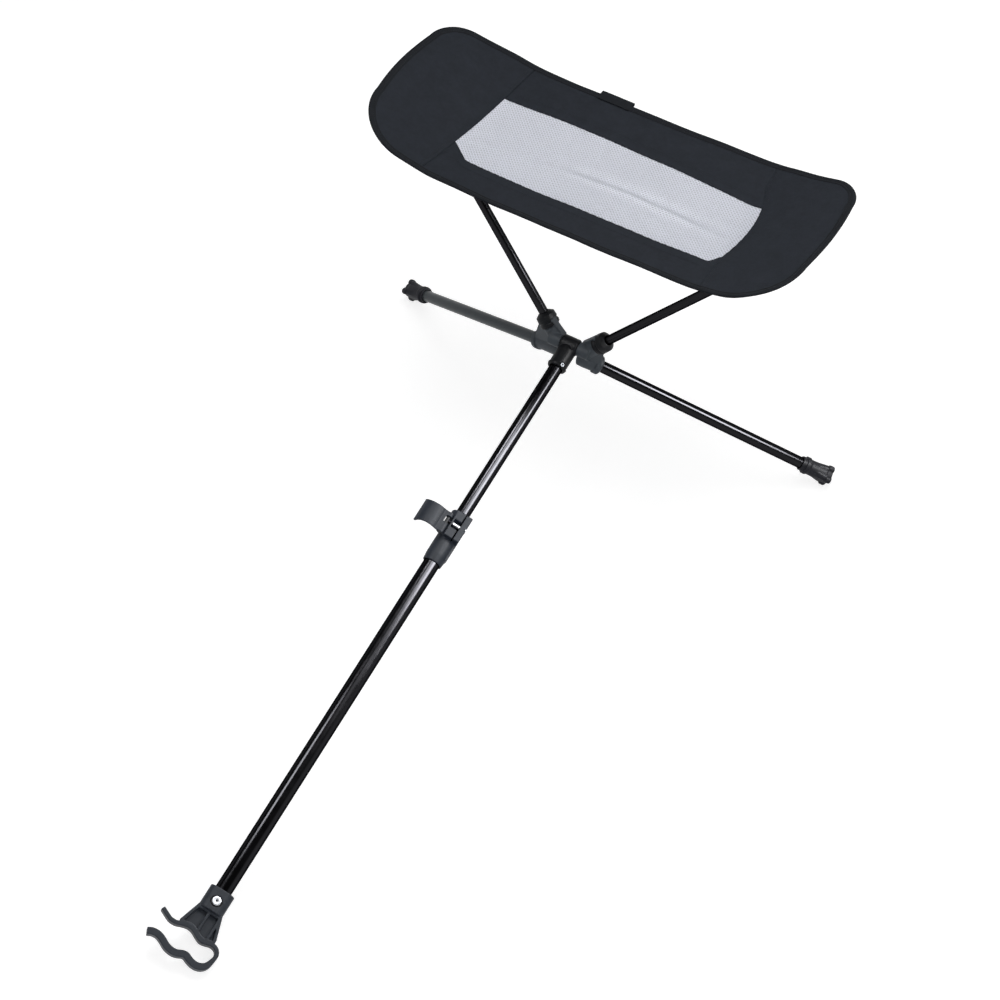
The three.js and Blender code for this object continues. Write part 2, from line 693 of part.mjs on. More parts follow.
// Arms end where the pocket's rim meets the lining of the wing
const tipRadius = armTubeDia / 2 + seatGap + tipWall;
const pocketRadius = tipRadius + seatGap + pocketWall;
function armLength() {
  const depth = (s) => {
    const p = cross.clone().addScaledVector(armDirection, s);
    const { point, normal } = slingPoint(p.x, p.y);
    const lean = armDirection.dot(normal);
    return (point.z - p.z) * normal.z + liningBottom - seatGap - pocketRadius * Math.sqrt(1 - lean * lean);
  };
  let low = armMouth;
  let high = wingEnd * 2;
  for (let i = 0; i < levelSteps; i += 1) {
    const middle = (low + high) / 2;
    if (depth(middle) > 0) low = middle;
    else high = middle;
  }
  return low;
}
const pocketEnd = armLength();
const tipEnd = pocketEnd - pocketFloor - seatGap;
const armTubeEnd = tipEnd - tipDome - seatGap;
for (const [name, side] of [['right', 1], ['left', -1]]) {
  const group = new THREE.Group();
  group.position.copy(mirrored(cross, side));
  group.quaternion.setFromUnitVectors(V3(0, 0, 1), mirrored(armDirection, side));
  frame.add(group);
  const armRadius = armTubeDia / 2;
  const armTube = pipe(armRadius, armRadius - armTubeWall, armTubeStart, armTubeEnd, tubeSides);
  piece(group, `${name}_arm`, armTube, glossTube);
  const ringBore = armRadius + seatGap;
  const ringOuter = ringBore + armRingWall;
  piece(group, `${name}_arm_ring`, revolve([[ringBore, armRingStart], [ringOuter, armRingStart],
    [ringOuter, armMouth + seatGap], [ringOuter + armRingWall, armMouth + seatGap],
    [ringOuter + armRingWall, armRingEnd - armRingRound], [ringOuter, armRingEnd], [ringBore, armRingEnd],
    [ringBore, armRingStart]], tubeSides), darkPlastic);
  const bore = armRadius + seatGap;
  piece(group, `${name}_arm_tip`, revolve([[bore, tipEnd - tipLength], [tipRadius, tipEnd - tipLength],
    [tipRadius, tipEnd - tipDome / 2], [tipRadius - tipDome / 2, tipEnd], [0, tipEnd], [0, tipEnd - tipDome],
    [bore, tipEnd - tipDome], [bore, tipEnd - tipLength]], tubeSides), rubber);
  const inside = tipRadius + seatGap;
  const pocketMouth = pocketEnd - pocketLength;
  piece(group, `${name}_arm_pocket`, revolve([[inside, pocketMouth], [pocketRadius, pocketMouth],
    [pocketRadius, pocketEnd], [0, pocketEnd], [0, pocketEnd - pocketFloor],
    [inside, pocketEnd - pocketFloor],
    [inside, pocketMouth]], tubeSides), cloth);
}

// Head of the pole: sleeve with a bead, and the knuckle between the two connectors
const screwTurn = deg(headScrewAngle);
function headScrewTool(radius, from, to, sides) {
  return alongX(rod(radius, from, to, sides)).rotateZ(screwTurn).translate(0, 0, headScrewStation);
}
const innerTubeRadius = innerTubeDia / 2;
const screwTip = innerTubeRadius - innerTubeWall - headScrewReach / 2;
const headKnuckle = alongX(revolve([[0, -headHalfWidth], [knuckleRadius, -headHalfWidth],
  [knuckleRadius, -headBossHalf - headBossTaper], [headBossRadius, -headBossHalf],
  [headBossRadius, headBossHalf], [knuckleRadius, headBossHalf + headBossTaper],
  [knuckleRadius, headHalfWidth], [0, headHalfWidth]], barrelSides));
const headBeadStart = headSleeveEnd - headBeadLength;
const headSleeve = revolve([[0, headSleeveTop], [headSleeveTopRadius, headSleeveTop],
  [headSleeveRadius, headShoulder], [headSleeveRadius, headBeadStart],
  [headBeadRadius - headBeadRound, headBeadStart + headBeadRound],
  [headBeadRadius, headSleeveEnd - headBeadLength / 2], [headBeadRadius - headBeadRound, headSleeveEnd],
  [0, headSleeveEnd]], barrelSides);
const headScrewBase = headSleeveRadius - headScrewHeadHeight / 2;
const headBody = cut(join(headKnuckle, headSleeve),
  alongX(rod(axleDia / 2 + seatGap, -headHalfWidth - cutOver, headHalfWidth + cutOver, smallSides)),
  rod(innerTubeRadius + seatGap, headTubeStart - seatGap, headSleeveEnd + cutOver, tubeSides),
  headScrewTool(headScrewShankDia / 2 + seatGap, 0, headBeadRadius + cutOver, smallSides),
  headScrewTool(headScrewHeadDia / 2 + seatGap, headScrewBase - seatGap, headBeadRadius + cutOver,
    smallSides));
piece(pole, 'pole_head', surface(headBody), darkPlastic);
piece(pole, 'head_screw', surface(join(
  headScrewTool(headScrewShankDia / 2, screwTip, headScrewBase + headScrewHeadHeight / 2, smallSides),
  headScrewTool(headScrewHeadDia / 2, headScrewBase, headScrewBase + headScrewHeadHeight,
    smallSides))), steel);
piece(pole, 'inner_tube', surface(cut(
  solid(pipe(innerTubeRadius, innerTubeRadius - innerTubeWall, headTubeStart, innerTubeEnd, tubeSides)),
  headScrewTool(headScrewShankDia / 2 + seatGap, 0, innerTubeDia, smallSides))), glossTube);

// Slide bush: a shank in the end of the inner tube and a collar that runs in the outer tube
const outerBore = outerTubeDia / 2 - outerTubeWall;
const bushShankRadius = innerTubeRadius - innerTubeWall - seatGap;
const bushCollarRadius = outerBore - seatGap;
piece(pole, 'slide_bush', revolve([
  [bushBore, innerTubeEnd - bushShank], [bushShankRadius, innerTubeEnd - bushShank],
  [bushShankRadius, innerTubeEnd + seatGap], [bushCollarRadius, innerTubeEnd + seatGap],
  [bushCollarRadius, innerTubeEnd + bushCollar], [bushBore, innerTubeEnd + bushCollar],
  [bushBore, innerTubeEnd - bushShank]], tubeSides), darkPlastic);

// Outer tube, slotted under the clamp and drilled for the clip's screw. Its own X points at the front
// of the lock, and its own Y at the lever and the clip's mouth.
const outerTop = lockStation + lockLip + seatGap;
const outerEnd = clipStation + clipSocketLength - seatGap;
const clipScrewHole = alongX(rod(clipScrewDia / 2 + seatGap, -outerTubeDia, outerTubeDia, smallSides))
  .translate(0, 0, clipScrewStation);
piece(lowerPole, 'outer_tube', surface(cut(
  solid(pipe(outerTubeDia / 2, outerBore, outerTop, outerEnd, tubeSides)),
  box(0, outerTubeDia, -tubeSlotWidth / 2, tubeSlotWidth / 2, outerTop - cutOver, outerTop + tubeSlotLength),
  clipScrewHole)), glossTube);

// Lock collar: lipped sleeve with a split clamp, two ears and the long boss behind the bolt
const nutStart = -rightEarOuter - nutProud;
const boltHeight = lockStation + boltStation;
function acrossEars(radius, from, to) {
  return alongY(rod(radius, from, to, smallSides)).translate(boltOffset, 0, boltHeight);
}
function lockGeometry() {
  const end = lockStation + lockLength;
  const clampEnd = lockStation + lockClamp;
  const leftEarOuter = pinOffset - knuckleOuter() - seatGap;
  const sleeve = revolve([[0, lockStation], [lockRadius - lockRound, lockStation],
    [lockRadius, lockStation + lockRound], [lockRadius, end - lockTaper], [lockEndRadius, end],
    [0, end]], barrelSides);
  const rightEar = plate([[earInner, -rightEarOuter], [boltOffset + earReach - lockRound, -rightEarOuter],
    [boltOffset + earReach, -rightEarOuter + lockRound], [boltOffset + earReach, -rightEarInner],
    [0, -rightEarInner], [0, -rightEarOuter + earReach]], clampEnd - lockStation - earTop)
    .translate(0, 0, (clampEnd + lockStation + earTop) / 2);
  const slitEnd = clampSlit - rightEarInner;
  const leftEar = box(0, boltOffset + earReach, slitEnd, leftEarOuter, lockStation + earTop, clampEnd);
  const boss = plate([[lockStation + earTop, -rightEarOuter], [end - lockTaper, -rightEarOuter],
    [end - lockTaper + bossFoot, -rightEarOuter + bossChamfer], [lockStation + earTop, 0]], 2 * bossHalfDepth)
    .rotateY(-Math.PI / 2);
  const body = join(sleeve, rightEar, leftEar, boss);
  return surface(cut(body,
    rod(innerTubeRadius + seatGap, lockStation - cutOver, end + cutOver, tubeSides),
    rod(outerTubeDia / 2 + seatGap, lockStation + lockLip, end + cutOver, tubeSides),
    box(0, boltOffset + earReach + cutOver, -rightEarInner, slitEnd, lockStation - cutOver,
      clampEnd + cutOver),
    box(boltOffset - boltDia / 2 - boltWindowFloor, boltOffset + earReach + cutOver, -rightEarInner,
      leftEarInner, boltHeight - boltWindow / 2, boltHeight + boltWindow / 2),
    acrossEars(boltDia / 2 + seatGap, -rightEarOuter - cutOver, pinOffset),
    acrossEars(nutDia / 2 + seatGap, -rightEarOuter - cutOver, nutStart + nutHeight + seatGap)));
}
const knuckleOuter = () => boltOffset - lockRadius + pinDia / 2 - seatGap;
piece(lowerPole, 'lock_collar', lockGeometry(), hardPlastic);

// Clamp bolt across the ears, its nut sunk in the outer ear and the barrel pin at its other end
const nutEnd = nutStart + nutHeight;
const nutSlotFloor = nutStart + nutSlotDepth;
piece(lowerPole, 'clamp_bolt', acrossEars(boltDia / 2, nutSlotFloor, pinOffset), steel);
piece(lowerPole, 'clamp_nut', surface(cut(
  solid(acrossEars(nutDia / 2, nutStart, nutEnd)),
  acrossEars(boltDia / 2 + seatGap, nutStart - cutOver, nutEnd + cutOver),
  box(boltOffset - nutDia, boltOffset + nutDia, nutStart - cutOver, nutSlotFloor,
    boltHeight - nutSlotWidth / 2, boltHeight + nutSlotWidth / 2))), steel);
const pinTop = lockStation + leverTop;
const pinEnd = lockStation + lockClamp;
piece(lowerPole, 'lever_pin', surface(cut(
  solid(rod(pinDia / 2, pinTop, pinEnd, smallSides).translate(boltOffset, pinOffset, 0)),
  acrossEars(boltDia / 2 + seatGap, 0, pinOffset + seatGap))), steel);

// Cam lever, drawn shut round the collar and then swung open about its pin
function leverGeometry() {
  const radius = lockRadius + leverClearance + leverThickness / 2;
  const middle = (pinTop + pinEnd) / 2;
  const half = (pinEnd - pinTop) / 2;
  const at = (a, b) => {
    const turn = deg(leverArcStart + (leverArcEnd - leverArcStart) * a);
    const curl = leverTipCurl * a ** 6;
    const width = half + leverTipFlare * a ** 3;
    const normal = V3(Math.cos(turn), Math.sin(turn), 0);
    const point = normal.clone().multiplyScalar(radius + curl).setZ(middle + width * (2 * b - 1));
    return { point, normal };
  };
  const shell = slab(at, leverSteps, leverRows, -leverThickness / 2, leverThickness / 2);
  const start = at(0, 0.5).point;
  const reach = knuckleOuter();
  const root = plate([[start.x, start.y + leverThickness / 2], [start.x, start.y - leverThickness / 2],
    [boltOffset, pinOffset - reach + leverThickness], [boltOffset, pinOffset + reach]], 2 * half)
    .translate(0, 0, middle);
  const knuckle = rod(reach, pinTop, pinEnd, smallSides).translate(boltOffset, pinOffset, 0);
  const swing = reach + seatGap;
  const halfWindow = knuckleWindow / 2;
  const window = rod(swing + seatGap, boltHeight - halfWindow, boltHeight + halfWindow, smallSides)
    .translate(boltOffset, pinOffset, 0);
  const pinHole = rod(pinDia / 2 + seatGap, pinTop - cutOver, pinEnd + cutOver, smallSides)
    .translate(boltOffset, pinOffset, 0);
  const body = cut(join(shell, root, knuckle), window, pinHole);
  return surface(body).translate(-boltOffset, -pinOffset, 0);
}
const leverGroup = new THREE.Group();
leverGroup.position.set(boltOffset, pinOffset, 0);
leverGroup.rotation.z = deg(-leverOpenAngle);
lowerPole.add(leverGroup);
piece(leverGroup, 'cam_lever', leverGeometry(), hardPlastic);

// Chair clip: socket, ribbed fan and two wavy jaws with two seats
function jawOutline() {
  const knots = jawShares.map(([u, h]) => new THREE.Vector2(u * clipReach, h * clipSeatHalf));
  const curve = new THREE.SplineCurve(knots);
  const inner = [];
  const outer = [];
  for (let i = 0; i <= jawSteps; i += 1) {
    const t = i / jawSteps;
    const p = curve.getPointAt(t);
    const run = curve.getTangentAt(t);
    const thicker = THREE.MathUtils.smoothstep(t, jawWallFrom_share, jawWallTo_share);
    const wall = clipUpperWall + (clipLowerWall - clipUpperWall) * thicker;
    inner.push([p.x, p.y]);
    outer.push([p.x - run.y * wall, p.y + run.x * wall]);
  }
  return { inner, outline: [...inner, ...outer.reverse()] };
}

function clipGeometry() {
  const lay = (outline, height) => plate(outline, height).rotateX(Math.PI / 2).rotateZ(Math.PI / 2)
    .translate(0, 0, clipSeatStation);
  const { inner, outline } = jawOutline();
  const socketEnd = clipStation + clipSocketLength;
  const top = socketEnd - clipSeatStation;
  const base = top + clipFanDrop;
  const half = (h) => clipSocketWidth / 2 + clipFanFlare_share * (h - top);
  const wall = inner.filter(([u, h]) => h < 0 && u < half(base) && u > -half(base));
  const floorLine = wall.map(([u, h]) => [u, h - clipUpperWall / 2]);
  const fanOutline = [[half(top), top], [half(base), base], ...floorLine, [-half(base), base],
    [-half(top), top]];
  const socketLong = clipSocketLength + clipSocketRoot;
  const socket = plate(roundedBox(clipSocketDepth, clipSocketWidth, clipSocketRound), socketLong)
    .translate(0, 0, clipStation + socketLong / 2);
  const pocketDepth = (clipWidth - clipWeb) / 2;
  const high = top + clipSocketRoot + clipRib;
  const low = wall.map(([u, h]) => [u, h - clipUpperWall - clipFloorRib])
    .filter(([u, h]) => Math.abs(u) < half(h) - clipEdgeRib);
  const fan = [[half(high) - clipEdgeRib, high], ...low, [clipEdgeRib - half(high), high]];
  const rib = (u) => lay([[u - clipRib / 2, top], [u + clipRib / 2, top], [u + clipRib / 2, 0],
    [u - clipRib / 2, 0]], clipWidth);
  const hollow = surface(cut(solid(lay(fan, pocketDepth + cutOver)), rib(0), rib(clipRibPlace)));
  const pockets = [-1, 1].map((face) => hollow.clone()
    .translate(face * (clipWidth / 2 + (cutOver - pocketDepth) / 2), 0, 0));
  const sinkSide = clipSocketDepth / 2;
  return surface(cut(join(lay(outline, clipWidth), lay(fanOutline, clipWidth), socket), ...pockets,
    rod(outerTubeDia / 2 + seatGap, clipStation - cutOver, socketEnd, tubeSides),
    clipScrewHole.clone(),
    alongX(rod(clipScrewHeadDia / 2 + seatGap, sinkSide - clipScrewSink, sinkSide + cutOver, tubeSides))
      .translate(0, 0, clipScrewStation),
    alongX(hexBar(clipNutAcross + 2 * seatGap, -sinkSide - cutOver, -sinkSide + clipScrewSink))
      .translate(0, 0, clipScrewStation)));
}

function roundedBox(width, height, radius) {
  const points = [];
  for (const [sx, sy, from] of [[1, 1, 0], [-1, 1, 1], [-1, -1, 2], [1, -1, 3]]) {
    for (let i = 0; i <= socketCornerSteps; i += 1) {
      const turn = (from + i / socketCornerSteps) * (Math.PI / 2);
      const x = sx * (width / 2 - radius) + radius * Math.cos(turn);
      const y = sy * (height / 2 - radius) + radius * Math.sin(turn);
      points.push([x, y]);
    }
  }
  return points;
}
piece(lowerPole, 'chair_clip', clipGeometry(), hardPlastic);

// Socket screw through the clip and the tube, and its nut
const clipFace = clipSocketDepth / 2 - clipScrewSink + seatGap;
const clipBack = -clipSocketDepth / 2 + clipScrewSink - seatGap;
const clipHeadTop = clipFace + clipScrewHeadHeight;
const clipNutEnd = clipBack - clipNutHeight;
const acrossClip = (geometry) => alongX(geometry).translate(0, 0, clipScrewStation);
piece(lowerPole, 'clip_screw', surface(cut(join(
  acrossClip(rod(clipScrewDia / 2, clipNutEnd, clipFace + clipScrewHeadHeight / 2, smallSides)),
  acrossClip(rod(clipScrewHeadDia / 2, clipFace, clipHeadTop, tubeSides))),
acrossClip(hexBar(clipHexAcross, clipHeadTop - clipHexDepth, clipHeadTop + cutOver)))), steel);
piece(lowerPole, 'clip_nut', surface(cut(
  solid(acrossClip(hexBar(clipNutAcross, clipNutEnd, clipBack))),
  acrossClip(rod(clipScrewDia / 2 + seatGap, clipNutEnd - cutOver, clipBack + cutOver, smallSides)))), steel);

// The pole slopes so that the clip and the feet stand on the same ground
lowerPole.rotation.z = deg(clipSwivel);
part.updateMatrixWorld(true);
const lowest = (name) => new THREE.Box3().setFromObject(part.getObjectByName(name), true).min.z;
function clipLevel(pitch) {
  pole.rotation.x = Math.PI / 2 + pitch;
  part.updateMatrixWorld(true);
  return lowest('chair_clip') - Math.min(lowest('left_foot'), lowest('right_foot'));
}
let shallow = 0;
let steep = Math.PI / 4;
for (let i = 0; i < levelSteps; i += 1) {
  const middle = (shallow + steep) / 2;
  if (clipLevel(middle) > 0) shallow = middle;
  else steep = middle;
}
clipLevel(shallow);

// Origin: the middle of the footprint on the ground
const bounds = new THREE.Box3().setFromObject(part, true);
const centre = bounds.getCenter(V3(0, 0, 0));
part.position.set(-centre.x, -centre.y, -bounds.min.z);
part.updateMatrixWorld(true);

export default part;
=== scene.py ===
"""Looks of a clip-on telescoping footrest, built around its packed construction model.

All lengths are metres. Points of the sling, the legs and the arms are measured from the middle
of the hub axle, with +X along the sling, +Y away from the chair and +Z up.
"""

import json
import math

import bmesh
import bpy
import numpy as np
from bpy.props import FloatProperty, FloatVectorProperty, IntProperty, PointerProperty
from mathutils import Matrix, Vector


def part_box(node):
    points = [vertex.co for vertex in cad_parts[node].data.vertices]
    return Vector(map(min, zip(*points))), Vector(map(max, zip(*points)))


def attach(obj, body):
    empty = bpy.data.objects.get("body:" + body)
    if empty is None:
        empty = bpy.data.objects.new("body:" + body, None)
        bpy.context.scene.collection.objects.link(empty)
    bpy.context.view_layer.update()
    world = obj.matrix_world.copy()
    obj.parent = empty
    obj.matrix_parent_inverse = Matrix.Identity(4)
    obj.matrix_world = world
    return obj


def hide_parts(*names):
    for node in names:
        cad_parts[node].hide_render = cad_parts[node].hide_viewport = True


bl_info = {
    "name": "Camp chair footrest",
    "version": (1, 0, 0),
    "blender": (4, 5, 0),
    "location": "3D View > Sidebar > Footrest",
    "description": "Builds the cloth, tubes, mouldings and stage of a telescoping footrest",
    "category": "Object",
}

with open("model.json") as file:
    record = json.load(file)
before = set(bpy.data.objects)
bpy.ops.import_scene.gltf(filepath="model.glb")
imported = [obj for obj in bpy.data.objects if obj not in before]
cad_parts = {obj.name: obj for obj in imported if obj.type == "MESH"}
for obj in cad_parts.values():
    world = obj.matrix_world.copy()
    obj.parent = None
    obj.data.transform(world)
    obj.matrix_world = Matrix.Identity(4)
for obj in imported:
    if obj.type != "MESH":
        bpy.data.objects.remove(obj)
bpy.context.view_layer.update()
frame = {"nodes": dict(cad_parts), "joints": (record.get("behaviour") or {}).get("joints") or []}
AXLE = np.mean([tuple(corner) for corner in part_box("hub_axle")], axis=0)
JOINTS = {joint["name"]: joint for joint in frame["joints"]}
SIDES = {"right": 1.0, "left": -1.0}


def unit(vector):
    """A vector divided by its own length."""
    vector = np.asarray(vector, float)
    return vector / np.linalg.norm(vector)


POLE = unit(JOINTS["telescope"]["axis"])
ACROSS = np.array([1.0, 0.0, 0.0])
POLE_AXES = np.array([ACROSS, np.cross(POLE, ACROSS), POLE])


# ---- Sizes and colours that a user would change


def share(default, description, **settings):
    """A plain number, shown in the panel."""
    return FloatProperty(description=description, default=default, **settings)


def length(default, description):
    """A length in metres."""
    return share(default, description, unit="LENGTH", precision=4)


def angle(default, description):
    """An angle, given in degrees."""
    return share(math.radians(default), description, subtype="ANGLE")


def count(default, description):
    """A whole number."""
    return IntProperty(description=description, default=default)


def colour(red, green, blue, description):
    """A colour, given as display values from 0 to 255."""
    linear = [((v / 255 + 0.055) / 1.055) ** 2.4 for v in (red, green, blue)]
    return FloatVectorProperty(
        description=description, default=linear, subtype="COLOR", size=3
    )


class SlingSizes(bpy.types.PropertyGroup):
    """Plan and rise of the sling, from the axle."""

    near_y: length(-0.044, "Y of the edge towards the chair")
    far_y: length(0.186, "Y of the edge away from the chair")
    near_rise: length(0.228, "Height of the near edge")
    far_rise: length(0.2065, "Height of the far edge")
    kink_near: length(0.173, "X where a wing starts, at the near edge")
    kink_far: length(0.155, "X where a wing starts, at the far edge")
    slope: share(0.34, "Rise of a wing for each unit outwards")
    blend: length(0.014, "Length of the bend between centre and wing")
    sag: length(0.010, "Depth of the middle below a flat cloth")
    wing_end: length(0.265, "X of the end of a wing")
    bow: length(0.004, "How far a wing's end bulges")
    near_radius: length(0.066, "Radius of the near corners")
    far_radius: length(0.035, "Radius of the far corners")
    taper: length(0.018, "How far the far edge runs in along a wing")
    taper_power: share(1.2, "Curve of the far edge's run")
    cloth: length(0.0012, "Thickness of the cloth")
    knit: length(0.0006, "Thickness of the window's knit")
    window_near: length(0.0068, "Y of the window's near rim, at X 0")
    window_far: length(0.1273, "Y of the window's far rim, at its peak")
    window_lean: share(0.0077, "Rise of the near rim for each unit of X")
    far_peak: length(-0.025, "X of the far rim's peak")
    far_span: length(0.185, "Length over which the far rim falls")
    far_fall: length(0.0128, "How far the far rim falls over that length")
    cut_x: length(0.141, "X where the left corner's cut starts")
    cut_run: length(0.0255, "Length of the left corner's cut along X")
    cut_rise: length(0.021, "Length of the left corner's cut along Y")
    tight_x: length(0.157, "X where the right corner starts")
    tight_run: length(0.011, "Length of the right corner along X")
    tight_rise: length(0.016, "Length of the right corner along Y")
    bulge_x: length(0.1742, "Farthest X of the window's right end")
    bulge_y: length(0.070, "Y of the window's farthest point")
    bulge_fall: length(0.010, "How far the end falls back over a length")
    bulge_span: length(0.060, "Length over which the end falls back")
    overlap: length(0.004, "How far the cloth runs under a wing")
    crease_x: length(0.035, "X where the crease in the knit reaches furthest")
    crease_y: length(0.059, "Y of the crease there")
    crease_bow: share(0.5, "Bend of the crease, per metre")
    hem: length(0.0135, "Width of the doubled cloth round the window")
    binding: length(0.008, "Width of the folded edge tape")
    puckers: length(0.00022, "Height of the puckers along a seam")
    stitch_pitch: length(0.0031, "Distance from stitch to stitch")
    stitch_length: length(0.0024, "Length of one stitch")
    thread: length(0.00045, "Diameter of the thread")


class TubeSizes(bpy.types.PropertyGroup):
    """Diameters and ends of the tubes."""

    sides: count(96, "Facets round a tube")
    wall: length(0.001, "Wall of the tubes")
    lip: length(0.0003, "Rounding of a tube's cut ends")
    leg: length(0.014, "Diameter of a leg")
    leg_start: length(0.012, "Start of a leg from the crossing point")
    leg_end: length(0.3367, "End of a leg, inside its foot")
    arm: length(0.011, "Diameter of an arm")
    arm_start: length(0.027, "Start of an arm from the crossing point")
    inner: length(0.016, "Diameter of the pole's inner tube")
    inner_start: length(0.0125, "Start of the inner tube from the axle")
    inner_end: length(0.478, "End of the inner tube")
    outer: length(0.019, "Diameter of the pole's outer tube")
    outer_start: length(0.2503, "Start of the outer tube from the axle")
    outer_end: length(0.7639, "End of the outer tube")
    cross_x: length(0.009, "X where leg and arm axes cross")
    cross_y: length(0.0033, "Y where leg and arm axes cross")
    cross_z: length(-0.015, "Z where leg and arm axes cross")


class FootSizes(bpy.types.PropertyGroup):
    """Lobed foot, with its places measured along the leg from the crossing point."""

    start: length(0.3055, "Start of the foot")
    end: length(0.346, "End of the foot")
    floor: length(0.009, "Thickness beyond the end of the tube's bore")
    bore: length(0.0073, "Radius of the bore")
    lip: length(0.0088, "Radius of the lip")
    ring_start: length(0.3105, "Start of the ring")
    ring: length(0.0106, "Radius of the ring")
    ring_end: length(0.315, "End of the ring")
    neck: length(0.0093, "Radius of the neck")
    neck_end: length(0.317, "End of the neck")
    body: length(0.0098, "Radius of the body before the lobes")
    star: length(0.0146, "Radius over the lobes")
    star_back: length(0.3385, "Start of the lobes")
    hub: length(0.0096, "Radius between the lobes")
    knob: length(0.0044, "Radius of a lobe's round end")
    fillet: length(0.0009, "Rounding where a lobe leaves the hub")
    flare: share(0.5, "Share of the lobes' height that the body rises to before them")
    lobes: count(4, "Number of lobes")
    rounding: length(0.0019, "Radius of the lobes' edges")
    dimple: length(0.0022, "Radius of the hole in the end")
    dimple_depth: length(0.003, "Depth of the hole in the end")


class Finishes(bpy.types.PropertyGroup):
    """Colours of the materials."""

    cloth: colour(36, 40, 47, "Woven cloth of the sling")
    tape: colour(25, 28, 33, "Binding tape and tag")
    thread: colour(34, 36, 41, "Sewing thread")
    knit: colour(209, 212, 222, "Open knit of the window")
    gloss: colour(35, 35, 37, "Black lacquered tube")
    # Painted light: the left leg's tube is given this paler colour for the light that falls on
    # it, where the right leg's is black.
    satin: colour(79, 85, 89, "Duller tube of the left leg")
    hard: colour(53, 58, 66, "Chair clip")
    # Painted light: the connectors' plastic is the clip's, made paler here for the light on
    # them.
    connector: colour(82, 88, 94, "Connectors of legs and arms")
    # Painted shade: the lock's plastic is the clip's, made darker here to take away light that
    # falls on it.
    lock: colour(42, 48, 58, "Lock collar and its lever")
    # The clip's washer in this colour also paints the shadow round the clip screw's head.
    dark: colour(22, 24, 28, "Pole head, collars and the clip's washer")
    foot: colour(44, 45, 51, "Feet and arm tips")
    steel: colour(172, 174, 178, "Screws, nuts and pins")
    # Painted shade: the head screw's steel is the clip screw's, made darker here to dim the
    # light it reflects.
    dull: colour(96, 98, 102, "Screw of the pole head")
    board: colour(216, 216, 210, "Stiffener in the wings")


class StageSizes(bpy.types.PropertyGroup):
    """Camera and lamps."""

    azimuth: angle(30.8614, "Direction of the camera round the object")
    elevation: angle(52.2732, "Height of the camera over the horizon")
    roll: angle(-0.0664, "Turn of the camera about its own axis")
    distance: length(2.91473, "From the axle to the camera's plane")
    right: length(0.0807687, "Axle to the right of the picture's middle")
    up: length(0.1775067, "Axle above the picture's middle")
    lens: share(91.43, "Focal length on a 36 mm sensor")
    top: share(17.0, "Power of the soft lamp overhead, in watts")
    fill: share(7.0, "Power of the soft lamp in front, in watts")
    key: share(84.0, "Power of the lamp that shows in the tubes, in watts")
    wash: share(32.0, "Power of the weaker lamp beside it, in watts")
    band: share(3.4, "Power of the lamp over the outer tube, in watts")
    line: share(15.0, "Power of the narrow lamp over the clip, in watts")
    bar: share(14.0, "Power of the lamp that shows on the pole head, in watts")
    ceiling: share(0.08, "Brightness of the world overhead")
    ambient: share(0.21, "Light from all round")


SIZES = {
    "footrest_sling": SlingSizes,
    "footrest_tubes": TubeSizes,
    "footrest_feet": FootSizes,
    "footrest_finishes": Finishes,
    "footrest_stage": StageSizes,
}


def sizes(name):
    """The group of settings of that short name in this scene."""
    return getattr(bpy.context.scene, "footrest_" + name)


# ---- Meshes from grids of points

# Distances within which points join and below which faces are slivers, and the sharp angle
WELD, SLIVER, SHARP = 1e-6, 1e-7, math.radians(50)


def linked(name, data):
    """A new object in the scene."""
    made = bpy.data.objects.new(name, data)
    bpy.context.scene.collection.objects.link(made)
    return made


def mesh_from(name, points, quads, corner_uv=None):
    """A closed, welded, smooth mesh object from points, four-cornered faces and corner UVs."""
    mesh = bpy.data.meshes.new(name)
    mesh.vertices.add(points.size // 3)
    mesh.vertices.foreach_set("co", points.astype(np.float32).ravel())
    mesh.loops.add(quads.size)
    mesh.loops.foreach_set("vertex_index", quads.astype(np.int32).ravel())
    mesh.polygons.add(quads.size // 4)
    starts = np.arange(0, quads.size, 4, dtype=np.int32)
    mesh.polygons.foreach_set("loop_start", starts)
    mesh.update(calc_edges=True)
    if corner_uv is not None:
        layer = mesh.uv_layers.new(name="UVMap")
        layer.data.foreach_set("uv", corner_uv.astype(np.float32).ravel())
    work = bmesh.new()
    work.from_mesh(mesh)
    bmesh.ops.remove_doubles(work, verts=work.verts, dist=WELD)
    bmesh.ops.dissolve_degenerate(work, edges=work.edges, dist=SLIVER)
    bmesh.ops.recalc_face_normals(work, faces=work.faces)
    work.to_mesh(mesh)
    work.free()
    mesh.shade_smooth()
    mesh.set_sharp_from_angle(angle=SHARP)
    return linked(name, mesh)


def cells(grid):
    """The four corners of every cell of a grid, in order round the cell."""
    corners = [grid[:-1, :-1], grid[:-1, 1:], grid[1:, 1:], grid[1:, :-1]]
    return np.stack(corners, 2)


def surface(name, points, uv=None, ring=False):
    """A mesh over a grid that closes on itself along its columns, and its rows with ring."""
    rows, columns = points.shape[:2]
    ids = np.arange(rows * columns).reshape(rows, columns)
    ids = np.pad(ids, ((0, int(ring)), (0, 1)), "wrap")
    return mesh_from(name, points, cells(ids), None if uv is None else cells(uv))


def slab(name, top, bottom, uv):
    """A closed mesh between two grids of the same shape, joined along their four rims."""
    upper = np.arange(uv[..., 0].size).reshape(uv.shape[:2])
    lower = upper + upper.size
    quads = [cells(upper), cells(lower)[..., ::-1]]
    corners = [cells(uv), cells(uv)[:, :, ::-1]]
    for rim in (0, -1, np.s_[:, 0], np.s_[:, -1]):
        quads.append(cells(np.stack([upper[rim], lower[rim]])))
        corners.append(cells(np.stack([uv[rim], uv[rim]])))
    points, quads, corners = (
        np.concatenate([part.ravel() for part in parts])
        for parts in ((top, bottom), quads, corners)
    )
    return mesh_from(name, points, quads, corners)


